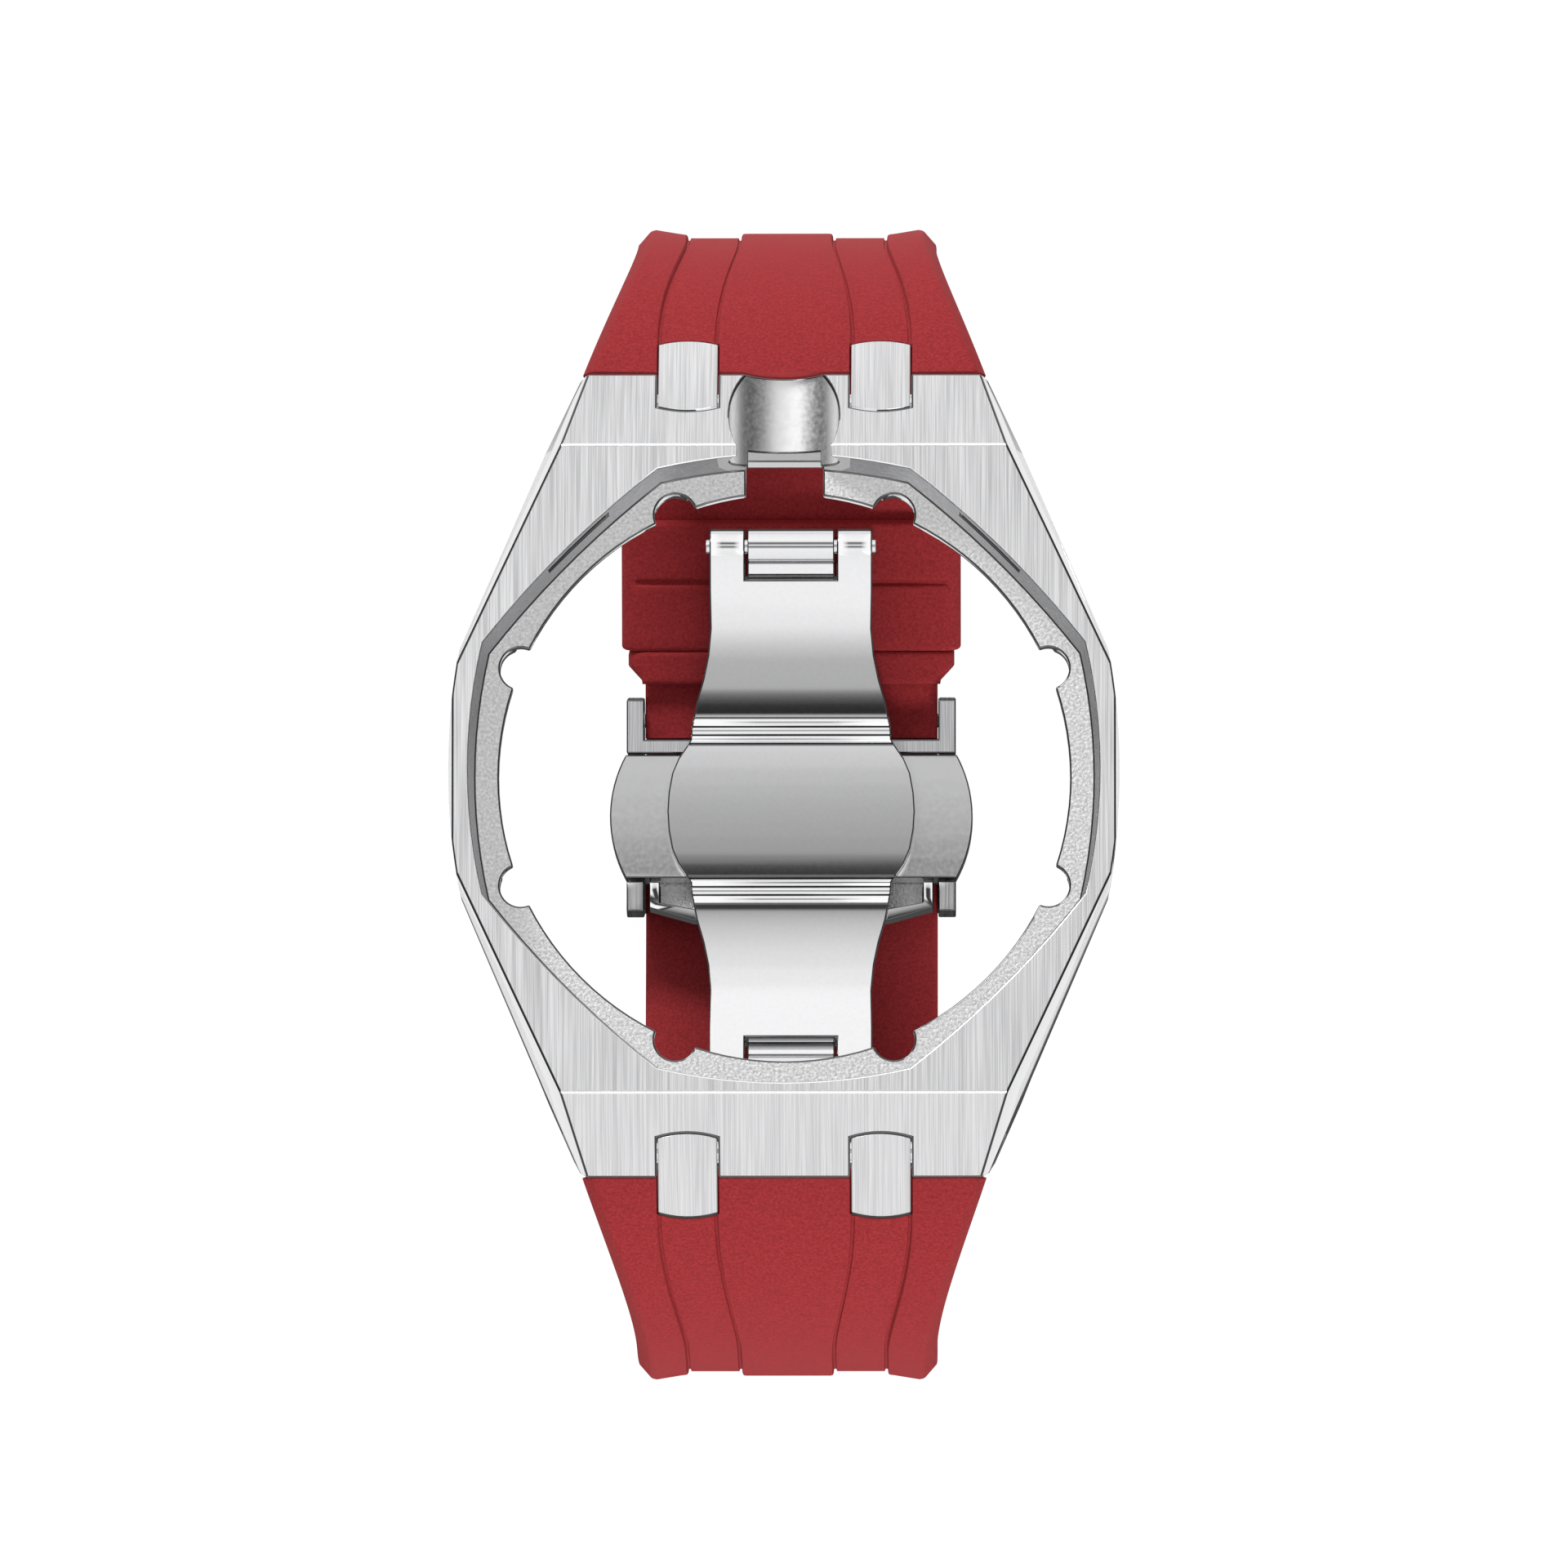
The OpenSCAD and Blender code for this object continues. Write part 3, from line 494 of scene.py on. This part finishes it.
def case_finish(normal, at):
    """The look of a face of the case, by its place in case_looks."""
    inwards = normal.x * at.x + normal.y * at.y < 0
    level = abs(normal.z) > LEVEL
    in_corner = abs(abs(at.x) - abs(at.y)) < SLOT_SPAN and abs(at.x) + abs(at.y) > SLOT_REACH
    square_on = max(abs(normal.x), abs(normal.y)) >= SQUARE_ON
    # Faces inside the clip slots get near black steel, a painted shadow.
    if in_corner and SLOT_LOW < at.z < SLOT_HIGH and not square_on and (inwards or level):
        return CLIP_SLOT
    if abs(at.x) < CHANNEL_HALF and at.y > CHANNEL_FROM and at.z < CHANNEL_TOP:
        return CHANNEL
    if normal.z > FACES_UP:
        return BRUSHED if at.z > FRONT_LOW else BLASTED
    if abs(normal.y) > FACET_ALONG and normal.z > FACET_UP:
        return BRUSHED
    # The pocket walls get a dark steel: painted shade of the recess.
    if normal.z >= UNDERCUT and inwards and 0 < at.z < WALL_TOP:
        return WALL
    return POLISHED


def shining_edge(normal, at):
    """Whether an edge gets a painted highlight, as those round the pocket and at the end facets' creases do.
    """
    outwards = normal.x * at.x > RIM_OUT * abs(at.x)
    return at.z > RIM_LOW and normal.z > RIM_UP and not outwards


case_front = brushed("case_brushed_steel")
case_side = polished("case_polished_steel")
case_inside = blasted("case_blasted_steel")
# Pocket walls: a dark steel that paints the shade of the recess.
wall_painted_shade_satin = polished("pocket_wall_painted_shade_satin", (0.28, 0.28, 0.29), rough=0.3)
# Clip slots: near black steel, a painted shadow inside them.
slot_painted_shadow = polished("clip_slot_painted_shadow_steel", (0.03, 0.03, 0.03), rough=0.5)
# The case's rounded edges: dark steel, a painted dark reflection along them.
edge_painted_dark_reflection = polished("case_edge_painted_dark_reflection_steel", (0.15, 0.15, 0.15), rough=0.12)
channel_satin = polished("crown_channel_steel", (0.9, 0.9, 0.9), rough=0.46)
# Edges round the pocket and at the creases: bright steel, a painted highlight.
edge_painted_highlight = polished("case_painted_highlight_edge_steel", (0.97, 0.97, 0.97), rough=0.25)
case_looks = (case_front, case_side, case_inside, wall_painted_shade_satin, slot_painted_shadow, channel_satin, edge_painted_highlight)
case = finished("case_body", case_looks, case_finish, CASE_EDGE, rim=edge_painted_dark_reflection, bright=shining_edge)
case.visible_glossy = False


# Link studs: four steel blocks that hold the strap ends on the lug bars. Their tops are brushed and flush
# with the end facets of the case, and their sides are polished.
STUD_EDGE = 0.06
STUD_UP = 0.5


def stud_finish(normal, at):
    return 0 if normal.z > STUD_UP else 1


link_face = brushed("link_brushed_steel")
for node in ("stud_12_left", "stud_12_right", "stud_6_left", "stud_6_right"):
    stud = finished(node, (link_face, case_side), stud_finish, STUD_EDGE)
    stud.visible_glossy = False


# Lug bars and their screws: turned steel. Each bar runs through the case and both studs of one end, and a
# slotted head holds it on each side.
BAR_EDGE = 0.05


def all_one(normal, at):
    return 0


turned = polished("turned_steel", rough=0.16)
for node in ("lug_bar_12", "lug_bar_6", "lug_screws"):
    bar = finished(node, (turned,), all_one, BAR_EDGE)
    bar.visible_glossy = False


# Short strap: a moulded length of red rubber, held at the case by the link studs. It thins towards the clasp
# and has two grooves between a middle ridge and two outer ridges. It falls away from the case and swings
# round into the clasp's bow. The steel does not mirror the rubber, as in the photograph.
CASE_HALF_LEN = 26.55
END_Z = 1.2
END_DROP = 4.1
END_HALF_WIDE = 13.45
END_SINK = 0.25
WALL_SPACE = 0.15
INTO_CASE = 3
CLASP_Y = 3.1
CLASP_DEPTH = 52.0
CLASP_MID = 3
BOW_R = 55.0
STRAP_W = 20.0
STRAP_T_CASE = 4.4
STRAP_T = 2.6
STRAP_FALL = math.radians(38)
STRAP_LEAN = math.radians(60)
STRAP_12_IN = 3.75
STRAP_SMOOTH = 32
STATIONS = 64
TAPER_LEN = 0.9 * CASE_HALF_LEN
THIN_AT = 0.9
WAIST_FROM = 3
WAIST_TO = 22
MIDDLE_HALF = 4.45
MIDDLE_NARROWS = 1.35
MIDDLE_RIDGE = 0.3
GROOVE_FAR = 8.3
GROOVE_NARROWS = 1.65
OUTER_RIDGE = 0.55
RIDGE_SLOPE = 0.3
RIDGE_LINE = 0.16
RIDGE_FALLS_FROM = 0.75
SIDE_CHAMFER = 0.95
STUD_W = 3.87
STUD_AT = 6.35
STUD_START = 23.92
STUD_LEN = 5.05
STUD_BOW_R = 7.2
STUD_FLOOR = END_Z - 3.6
STUD_GAP = 0.14
STUD_STEPS = 13
CUT_HIGH = 8
CUT_WIDE = 20
CUT_DEEP = END_DROP + 5
SHORT_LEADS = (0.7 * CASE_HALF_LEN, CLASP_DEPTH / 4)
SHORT_JOIN = math.radians(26.7)
SHORT_END_U = 5.35
SHORT_STEPS = 29
RUBBER_GRAIN = 5200
RUBBER_ROUGH = (0.52, 0.68)
RUBBER_SHINE = 0.03
DUST_DEPTH = 0.04 * MM


def rubber(name, dark, light):
    """Moulded rubber with a dusty grain."""
    made, tree, shader = material(name)
    dust = noise(tree, RUBBER_GRAIN, detail=4.0)
    tint(tree, shader, dust, dark, light)
    tree.links.new(spread(tree, dust, *RUBBER_ROUGH), shader.inputs["Roughness"])
    shader.inputs["Specular IOR Level"].default_value = RUBBER_SHINE
    emboss(tree, shader, dust, DUST_DEPTH, strength=0.6)
    return made


red = rubber("red_rubber", (0.33, 0.033, 0.038), (0.51, 0.052, 0.058))


def fade(x, a, b):
    """A smooth step from 0 at a to 1 at b."""
    t = min(1.0, max(0.0, (x - a) / (b - a)))
    return t * t * (3 - 2 * t)


def bow(angle, depth, side=1):
    """A point of the clasp's bow, in the length and height of the watch."""
    reach = BOW_R + depth
    return np.array((side * CLASP_Y + reach * math.sin(angle), BOW_R - CLASP_DEPTH - reach * math.cos(angle)))


def bow_angle(u):
    """The angle on the bow of a place so far along the clasp."""
    return math.asin(u / (BOW_R + CLASP_MID))


def strap_line(side, depth, leads, join, angles):
    """Stations of a strap's middle line: place, outward direction, thickness and share of the way."""
    out = np.array((math.sin(STRAP_FALL), math.cos(STRAP_FALL)))
    way = np.array((math.cos(STRAP_FALL), -math.sin(STRAP_FALL)))
    start = np.array((CASE_HALF_LEN + WALL_SPACE, END_Z - END_SINK)) - out * STRAP_T_CASE / 2
    stop = bow(join, depth, side)
    p = (start, start + leads[0] * way, stop + leads[1] * np.array((math.cos(join), math.sin(join))), stop)
    line = [(start - INTO_CASE * way, out, STRAP_T_CASE, 0.0)]
    for i in range(STATIONS + 1):
        t = i / STATIONS
        s = 1 - t
        at = s**3 * p[0] + 3 * t * s * s * p[1] + 3 * t * t * s * p[2] + t**3 * p[3]
        d = s * s * (p[1] - p[0]) + 2 * t * s * (p[2] - p[1]) + t * t * (p[3] - p[2])
        d /= np.linalg.norm(d)
        thick = STRAP_T_CASE + (STRAP_T - STRAP_T_CASE) * fade(t, 0, THIN_AT)
        line.append((at, np.array((-d[1], d[0])), thick, t))
    for a in angles:
        line.append((bow(a, depth, side), np.array((math.sin(a), -math.cos(a))), STRAP_T, 1.0))
    return line


def fall(point):
    """How far a point lies down the strap from the case's end."""
    return (point[0] - CASE_HALF_LEN) * math.cos(STRAP_LEAN) + (END_Z - point[1]) * math.sin(STRAP_LEAN)


def strap_half(down):
    """Half the strap's width, so far down from the case."""
    t = min(1.0, max(0.0, down / TAPER_LEN))
    return STRAP_W / 2 + (END_HALF_WIDE - STRAP_W / 2) * (1 - t) ** 2


def strap_section(station, tip=STRAP_W):
    """Half of the strap's cross section, from the middle of its outer face to the middle of the inner one."""
    at, out, thick, share = station
    top = thick / 2
    down = fall(at + out * top)
    ridge = 1 - fade(share, RIDGE_FALLS_FROM, 1)
    waist = fade(down, WAIST_FROM, WAIST_TO)
    middle = MIDDLE_HALF - MIDDLE_NARROWS * waist
    groove = GROOVE_FAR - GROOVE_NARROWS * waist
    half = min(strap_half(down), tip)
    back = min(strap_half(fall(at - out * top)), tip)
    high = MIDDLE_RIDGE * ridge
    rim = OUTER_RIDGE * ridge
    foot = (OUTER_RIDGE - RIDGE_SLOPE) * ridge
    side = min(SIDE_CHAMFER, 0.5 * half)
    line = RIDGE_LINE * ridge
    # Across the outer face: the middle ridge, the line at its foot, the groove, the outer ridge, the chamfer.
    face = [
        (0.0, high), (middle * 0.5, high), (middle - 0.28, high), (middle - 0.12, high - 0.03 * ridge),
        (middle - 0.06, high * 0.5), (middle - 0.02, -line), (middle + 0.12, -line), (middle + 0.18, 0.0),
        ((middle + groove) / 2, 0.0), (groove - 0.18, 0.0), (groove - 0.12, -line), (groove + 0.02, -line),
        (groove + 0.06, foot * 0.5), (groove + 0.12, foot - 0.03 * ridge), (groove + 0.26, foot),
        (groove + 0.6, foot + (rim - foot) * 0.15), (half - side - 0.25, rim),
        (half - side, rim - 0.05), (half - side + 0.15, rim - 0.14),
        (half - 0.2, rim - side + 0.12), (half - 0.05, rim - side - 0.05), (half, rim - side - 0.25),
    ]
    wide = [min(x, half) for x, h in face]
    section = [(x, top + h) for x, (_, h) in zip(wide, face)]
    section += [(back, -top + 0.45), (back - 0.06, -top + 0.2), (back - 0.2, -top + 0.06)]
    section += [(back - 0.45, -top), (back * 0.66, -top), (back * 0.33, -top), (0.0, -top)]
    return section


def strap_ring(station, side, tip=STRAP_W):
    """The whole cross section of a strap at a station. side is 1 at 12 o'clock and -1 at 6 o'clock."""
    at, out = station[0], station[1]
    half = strap_section(station, tip)
    loop = half + [(-x, h) for x, h in half[-2:0:-1]]
    return [(x, side * (at[0] + out[0] * h), at[1] + out[1] * h) for x, h in loop]


def mesh_piece(name, points, faces, look):
    """A piece from points in millimetres, with its faces turned outwards."""
    mesh = bpy.data.meshes.new(name)
    mesh.from_pydata([tuple(v * MM for v in p) for p in points], [], faces)
    made = bpy.data.objects.new(name, mesh)
    bpy.context.scene.collection.objects.link(made)
    mesh.materials.append(look)
    work = bmesh.new()
    work.from_mesh(mesh)
    bmesh.ops.recalc_face_normals(work, faces=work.faces)
    work.to_mesh(mesh)
    work.free()
    return made


def lofted(name, rings, look, closed=False):
    """A skin over rings of equally many points, capped at both ends unless it closes on itself."""
    n = len(rings[0])
    points = [p for ring in rings for p in ring]
    faces = []
    spans = len(rings) if closed else len(rings) - 1
    for i in range(spans):
        a, b = i * n, (i + 1) % len(rings) * n
        faces += [(a + j, a + (j + 1) % n, b + (j + 1) % n, b + j) for j in range(n)]
    if not closed:
        faces += [tuple(range(n))[::-1], tuple(range(len(points) - n, len(points)))]
    return mesh_piece(name, points, faces, look)


def prism(name, outline, low, high, axis="z"):
    """An outline extruded along x or z, as a cutter."""
    put = (lambda p, h: (p[0], p[1], h)) if axis == "z" else (lambda p, h: (h, p[0], p[1]))
    return lofted(name, [[put(p, h) for p in outline] for h in (low, high)], red)


def cut(made, *cutters):
    """Cuts the cutters out of a piece and throws them away."""
    for cutter in cutters:
        step = made.modifiers.new("cut", "BOOLEAN")
        step.operation = "DIFFERENCE"
        step.solver = "EXACT"
        step.object = cutter
    apply_steps(made)
    for cutter in cutters:
        bpy.data.objects.remove(cutter)


def end_cutters(side):
    """What the strap end gives way to: the end wall of the case, and the two link studs."""
    wall = CASE_HALF_LEN + WALL_SPACE
    case_wall = [
        (0, CUT_HIGH), (wall, CUT_HIGH), (wall, END_Z), (wall - 0.3, END_Z - 1.7), (wall - 1.4, -END_DROP),
        (wall - 3, -CUT_DEEP), (0, -CUT_DEEP),
    ]
    cutters = [prism("case_wall", [(side * y, z) for y, z in case_wall], -CUT_WIDE, CUT_WIDE, "x")]
    half = STUD_W / 2 + STUD_GAP
    bow_r = STUD_BOW_R + STUD_GAP
    far = STUD_START + STUD_LEN - STUD_BOW_R
    turn = math.asin(half / bow_r)
    turns = np.linspace(turn, -turn, STUD_STEPS)
    for x in (-STUD_AT, STUD_AT):
        tip = [(x + bow_r * math.sin(t), far + bow_r * math.cos(t)) for t in turns]
        outline = [(x - half, STUD_START - 2), (x + half, STUD_START - 2), *tip]
        outline = [(px, side * py) for px, py in outline]
        cutters.append(prism("stud_space", outline, STUD_FLOOR - STUD_GAP, CUT_HIGH))
    return cutters


short_angles = np.linspace(SHORT_JOIN, bow_angle(SHORT_END_U), SHORT_STEPS)[1:]
short_line = strap_line(1, STRAP_12_IN + STRAP_T / 2, SHORT_LEADS, SHORT_JOIN, short_angles)
short_strap = lofted("short_strap", [strap_ring(s, 1) for s in short_line], red)
cut(short_strap, *end_cutters(1))
soften(short_strap, STRAP_SMOOTH)
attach(short_strap, "case")
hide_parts("strap_12")
short_strap.visible_glossy = False


# Long strap: moulded from the same rubber. It runs on through the buckle frame as a tail over the short one.
# Slotted holes take the tang. They are a little longer than in the CAD solid, so that the tang clears them at
# its limit.
LONG_LEADS = (0.6 * CASE_HALF_LEN, 0.72 * CLASP_DEPTH)
LONG_JOIN = math.radians(10)
TAIL_IN = STRAP_12_IN + STRAP_T + 0.2
TAIL_MID = TAIL_IN + STRAP_T / 2
TAIL_END = 25.0
TAIL_STEPS = 46
TIP_R = 12.2
TIP_SHORT = 1.8
TIP_Y = CLASP_Y + TAIL_END - TIP_R - TIP_SHORT
TIP_FINE_FROM = 6.6
TIP_STEPS = 15
TIP_BLUNT = 0.2
TIP_CLOSE = 0.01
HOLE_U = 1.4
HOLE_PITCH = 6.0
HOLE_R = 1.15
HOLE_LONG = 4.45
HOLE_STEPS = 9
HOLES = range(-1, 4)


def tip_half(station):
    """Half the width left by the round tip of the tail."""
    past = -station[0][0] - TIP_Y
    if station[3] < 1 or past <= 0:
        return STRAP_W
    return math.sqrt(max(TIP_BLUNT**2, TIP_R**2 - past**2))


def slot_cutter(u):
    """A slotted hole across the tail, square to the bow at its place."""
    a = bow_angle(u)
    middle = bow(a, TAIL_MID)
    way = np.array((math.cos(a), math.sin(a)))
    out = np.array((math.sin(a), -math.cos(a)))
    reach = HOLE_LONG / 2 - HOLE_R
    outline = []
    for t in np.linspace(0, math.pi, HOLE_STEPS):
        outline.append((HOLE_R * math.cos(t), reach + HOLE_R * math.sin(t)))
    outline += [(-x, -v) for x, v in outline]
    rings = [[(x, *(middle + v * way + h * out)) for x, v in outline] for h in (-STRAP_T, STRAP_T)]
    return lofted("slot", rings, red)


tip_start = math.asin((CLASP_Y - TIP_Y - TIP_FINE_FROM) / (BOW_R + TAIL_MID))
tip_end = math.asin((CLASP_Y - TIP_Y - TIP_R + TIP_CLOSE) / (BOW_R + TAIL_MID))
tail_angles = list(np.linspace(LONG_JOIN, tip_start, TAIL_STEPS)[1:])
for t in np.linspace(0, math.pi / 2, TIP_STEPS)[1:]:
    tail_angles.append(tip_start + (tip_end - tip_start) * math.sin(t))
long_line = strap_line(-1, TAIL_MID, LONG_LEADS, LONG_JOIN, tail_angles)
long_strap = lofted("long_strap", [strap_ring(s, -1, tip_half(s)) for s in long_line], red)
cut(long_strap, *end_cutters(-1), *[slot_cutter(HOLE_U + HOLE_PITCH * i) for i in HOLES])
soften(long_strap, STRAP_SMOOTH)
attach(long_strap, "case")
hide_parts("strap_6")
long_strap.visible_glossy = False


# Keepers: two moulded rubber rings round both straps. One is bonded to the short strap and has slanted
# corners, the other slides along the tail. The sliding one has a groove across its wrist side.
KEEPER_WALL = 1.0
KEEPER_SPACE = 0.15
KEEPER_INNER = STRAP_W / 2 + KEEPER_SPACE
KEEPER_IN = STRAP_12_IN - KEEPER_SPACE - KEEPER_WALL
KEEPER_OUT = TAIL_IN + STRAP_T + KEEPER_SPACE + KEEPER_WALL
KEEPER_ROUND = 0.28
KEEPER_SMOOTH = 38
INNER_CORNER = 0.3
OUTER_CORNER = 1.2
CORNER_STEPS = 7
LONG_SIDE = 3
SIDE_STEPS = 10
KEEPER_STEPS = 12
ROUND_AT = (0.5, 1.0, 1.57)
INNER_BREAK = 0.05
LEAST_SIDE = 0.06
SLIDING_FROM = 11.25
SLIDING_LEN = 8.6
SLIDING_SIDE = 1.45
FIXED_LEN = 2.2
FIXED_GAP = 0.05
FIXED_SIDE = 1.0
FIXED_CORNER = 1.2
CORNER_BLEND = 0.1
GROOVE_U = 15.85
GROOVE_DEEP = 0.3
GROOVE_CLEAR = 0.6
GROOVE_RINGS = (-0.5, -0.3, -0.2, -0.13, 0.13, 0.2, 0.3, 0.5)
GROOVE_WALL = (0.12, 0.24)
GROOVE_RUNS_OUT = 0.6
FACE_SKIN = 0.1


def rounded_loop(half, top, bottom, corner):
    """Points (x, depth) round a rectangle with round corners, the same number on every loop."""
    loop = []
    for sx, depth, turn in ((1, top, 1.5), (1, bottom, 0.0), (-1, bottom, 0.5), (-1, top, 1.0)):
        cx = sx * (half - corner)
        cd = depth + (corner if depth == top else -corner)
        for t in np.linspace(turn * math.pi, (turn + 0.5) * math.pi, CORNER_STEPS):
            loop.append((cx + corner * math.cos(t), cd + corner * math.sin(t)))
    spaced = []
    for (x, d), (x2, d2) in zip(loop, loop[1:] + loop[:1]):
        spaced.append((x, d))
        if math.hypot(x2 - x, d2 - d) > LONG_SIDE:
            shares = [k / SIDE_STEPS for k in range(1, SIDE_STEPS)]
            spaced += [(x + (x2 - x) * share, d + (d2 - d) * share) for share in shares]
    return spaced


def keeper(name, start, end, outer_half, groove=0.0, corner=0.0):
    """A ring round both straps between two places on the bow, its outer edges rounded."""
    edge = KEEPER_ROUND
    rounding = [(edge * (1 - math.cos(t)), 1 - edge + edge * math.sin(t)) for t in ROUND_AT]
    profile = [(start, INNER_BREAK), (start, 1 - edge)]
    profile += [(start + v, w) for v, w in rounding]
    flat_len = end - start - 2 * edge
    places = [start + edge + flat_len * k / KEEPER_STEPS for k in range(1, KEEPER_STEPS)]
    if groove:
        places = [u for u in places if abs(u - GROOVE_U) > GROOVE_CLEAR]
        places += [GROOVE_U + v for v in GROOVE_RINGS]
    if corner:
        places += [start + corner - CORNER_BLEND, start + corner + CORNER_BLEND]
    profile += [(u, 1.0) for u in sorted(places)]
    profile += [(end - v, w) for v, w in rounding[::-1]]
    profile += [(end, 1 - edge), (end, INNER_BREAK), (end - INNER_BREAK, 0.0), (start + INNER_BREAK, 0.0)]
    inner = rounded_loop(KEEPER_INNER, KEEPER_IN + KEEPER_WALL, KEEPER_OUT - KEEPER_WALL, INNER_CORNER)
    rings = []
    for u, w in profile:
        half = outer_half
        if corner:
            half = max(KEEPER_INNER + LEAST_SIDE, min(outer_half, outer_half - corner + u - start))
        outer_corner = min(OUTER_CORNER, half - KEEPER_INNER + INNER_CORNER)
        outer = rounded_loop(half, KEEPER_IN, KEEPER_OUT, outer_corner)
        ring = []
        for (xi, di), (xo, do) in zip(inner, outer):
            x, d = xi + (xo - xi) * w, di + (do - di) * w
            if groove and w == 1.0 and do < KEEPER_IN + FACE_SKIN:
                near = 1 - fade(abs(u - GROOVE_U), *GROOVE_WALL)
                d += groove * near * (1 - fade(abs(x), KEEPER_INNER, KEEPER_INNER + GROOVE_RUNS_OUT))
            at = bow(bow_angle(u), d)
            ring.append((x, at[0], at[1]))
        rings.append(ring)
    return soften(lofted(name, rings, red, closed=True), KEEPER_SMOOTH)


fixed_end = SLIDING_FROM - FIXED_GAP
fixed_half = KEEPER_INNER + FIXED_SIDE
fixed_loop = keeper("fixed_loop", fixed_end - FIXED_LEN, fixed_end, fixed_half, corner=FIXED_CORNER)
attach(fixed_loop, "case")
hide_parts("fixed_keeper")
fixed_loop.visible_glossy = False
sliding_end = SLIDING_FROM + SLIDING_LEN
sliding_half = KEEPER_INNER + SLIDING_SIDE
sliding_loop = keeper("sliding_loop", SLIDING_FROM, sliding_end, sliding_half, groove=GROOVE_DEEP)
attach(sliding_loop, "keeper")
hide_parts("sliding_keeper")
sliding_loop.visible_glossy = False


# Clasp plate: a long bowed plate of polished steel that lies on the wrist. It has a bare flat pad in its
# middle, three ribs at each end of the pad and a forked hinge at each end.
CLASP_EDGE = 0.1
PAD_HALF = 4.5
PAD_LOW = -51.9


def plate_finish(normal, at):
    u = at.y - CLASP_Y
    return 1 if normal.z > LEVEL and abs(u) < PAD_HALF and at.z > PAD_LOW else 0


clasp_mirror = polished("clasp_polished_steel", rough=0.045)
pad_satin = polished("pad_satin_steel", (0.74, 0.74, 0.75), rough=0.055)
# The clasp's rounded edges: dark steel, a painted dark reflection along them.
clasp_painted_dark_edge = polished("clasp_painted_dark_edge_steel", (0.14, 0.14, 0.14), rough=0.12)
finished("clasp_plate", (clasp_mirror, pad_satin), plate_finish, CLASP_EDGE, rim=clasp_painted_dark_edge)


# Folding arms and tang: polished steel, stamped and bent. An arm turns in the fork at each end of the plate,
# and the tang turns on its bar in the buckle frame.
ARM_EDGE = 0.07
for node in ("upper_arm", "lower_arm", "tang"):
    finished(node, (clasp_mirror,), all_one, ARM_EDGE, rim=clasp_painted_dark_edge)


# Strap bracket and buckle frame: brushed steel, milled, with broken edges. Both are darker than the case's
# brushed steel, which is painted shade, the frame darkest. The bracket holds the short strap by its spring
# bar, and the long strap runs through the frame.
# Darker brushed steel for the bracket and darkest for the frame: painted shade inside the clasp.
clasp_painted_shade_matt = brushed("clasp_painted_shade_brushed_steel", (0.42, 0.42, 0.43), (0.72, 0.72, 0.73))
frame_painted_shade_matt = brushed("frame_painted_shade_brushed_steel", (0.24, 0.24, 0.24), (0.5, 0.5, 0.5))
for node, look in (("strap_bracket", clasp_painted_shade_matt), ("buckle_frame", frame_painted_shade_matt)):
    finished(node, (look,), all_one, CLASP_EDGE, rim=clasp_painted_dark_edge)


# Clasp cover and push buttons: the cover is a polished steel tray with a stippled floor, and it carries a
# satin steel button on each side.
COVER_EDGE = 0.07
TRAY_LOW = -54.5
TRAY_UP = 0.6


def cover_finish(normal, at):
    return 1 if normal.z > TRAY_UP and at.z < TRAY_LOW else 0


cover_stipple = blasted("cover_stippled_steel", (0.4, 0.4, 0.4), (0.75, 0.75, 0.75))
finished("clasp_cover", (clasp_mirror, cover_stipple), cover_finish, COVER_EDGE, rim=clasp_painted_dark_edge)
button_satin = polished("button_satin_steel", (0.76, 0.76, 0.77), rough=0.2)
for node in ("button_left", "button_right"):
    finished(node, (button_satin,), all_one, CLASP_EDGE, rim=clasp_painted_dark_edge)


# Button springs: wound steel wire between the post of the cover and the bottom of the pocket in each button.
COIL_R = 0.725
WIRE_R = 0.11
WIRE_SIDES = 6
COIL_FROM = 0.5
COIL_LONG = 5.6
COIL_TURNS = 8
TURN_STEPS = 20
COIL_U = -0.22
COIL_DEPTH = 2.325
COIL_SMOOTH = 70
SPRINGS = ((-1, "spring_left", "button_left_press"), (1, "spring_right", "button_right_press"))


def coil(side):
    """A helix of wire along x, starting at the post."""
    a = bow_angle(COIL_U)
    middle = bow(a, COIL_DEPTH)
    rings = []
    count = COIL_TURNS * TURN_STEPS
    for i in range(count + 1):
        t = 2 * math.pi * COIL_TURNS * i / count
        along = side * (COIL_FROM + WIRE_R + (COIL_LONG - 2 * WIRE_R) * i / count)
        ring = []
        for k in range(WIRE_SIDES):
            w = 2 * math.pi * k / WIRE_SIDES
            x = along + WIRE_R * math.sin(w)
            r = COIL_R + WIRE_R * math.cos(w)
            ring.append((x, middle[0] + r * math.cos(t), middle[1] + r * math.sin(t)))
        rings.append(ring)
    return lofted("spring_coil", rings, turned)


for side, node, joint in SPRINGS:
    spring = soften(coil(side), COIL_SMOOTH)
    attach(spring, "case")
    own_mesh(spring)
    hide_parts(node)


# Pins and bars of the clasp: turned steel. The hinge pins sit in the plate's forks, the spring bar in the
# bracket, and the tang's bar in the buckle frame.
for node in ("upper_hinge_pin", "lower_hinge_pin", "spring_bar", "tang_bar"):
    finished(node, (turned,), all_one, BAR_EDGE)


# CAD solids: each is the plain body under the piece that dresses it, and wears the look of its own slot, so
# that no solid is left without one.
LOOKS = {
    "case_steel": case_front, "link_steel": link_face, "bar_steel": turned, "strap_rubber": red,
    "clasp_polished": clasp_mirror, "clasp_brushed": clasp_painted_shade_matt, "spring_steel": turned,
}
for name, node in frame["nodes"].items():
    node.data.materials.clear()
    node.data.materials.append(LOOKS[slots[name]])
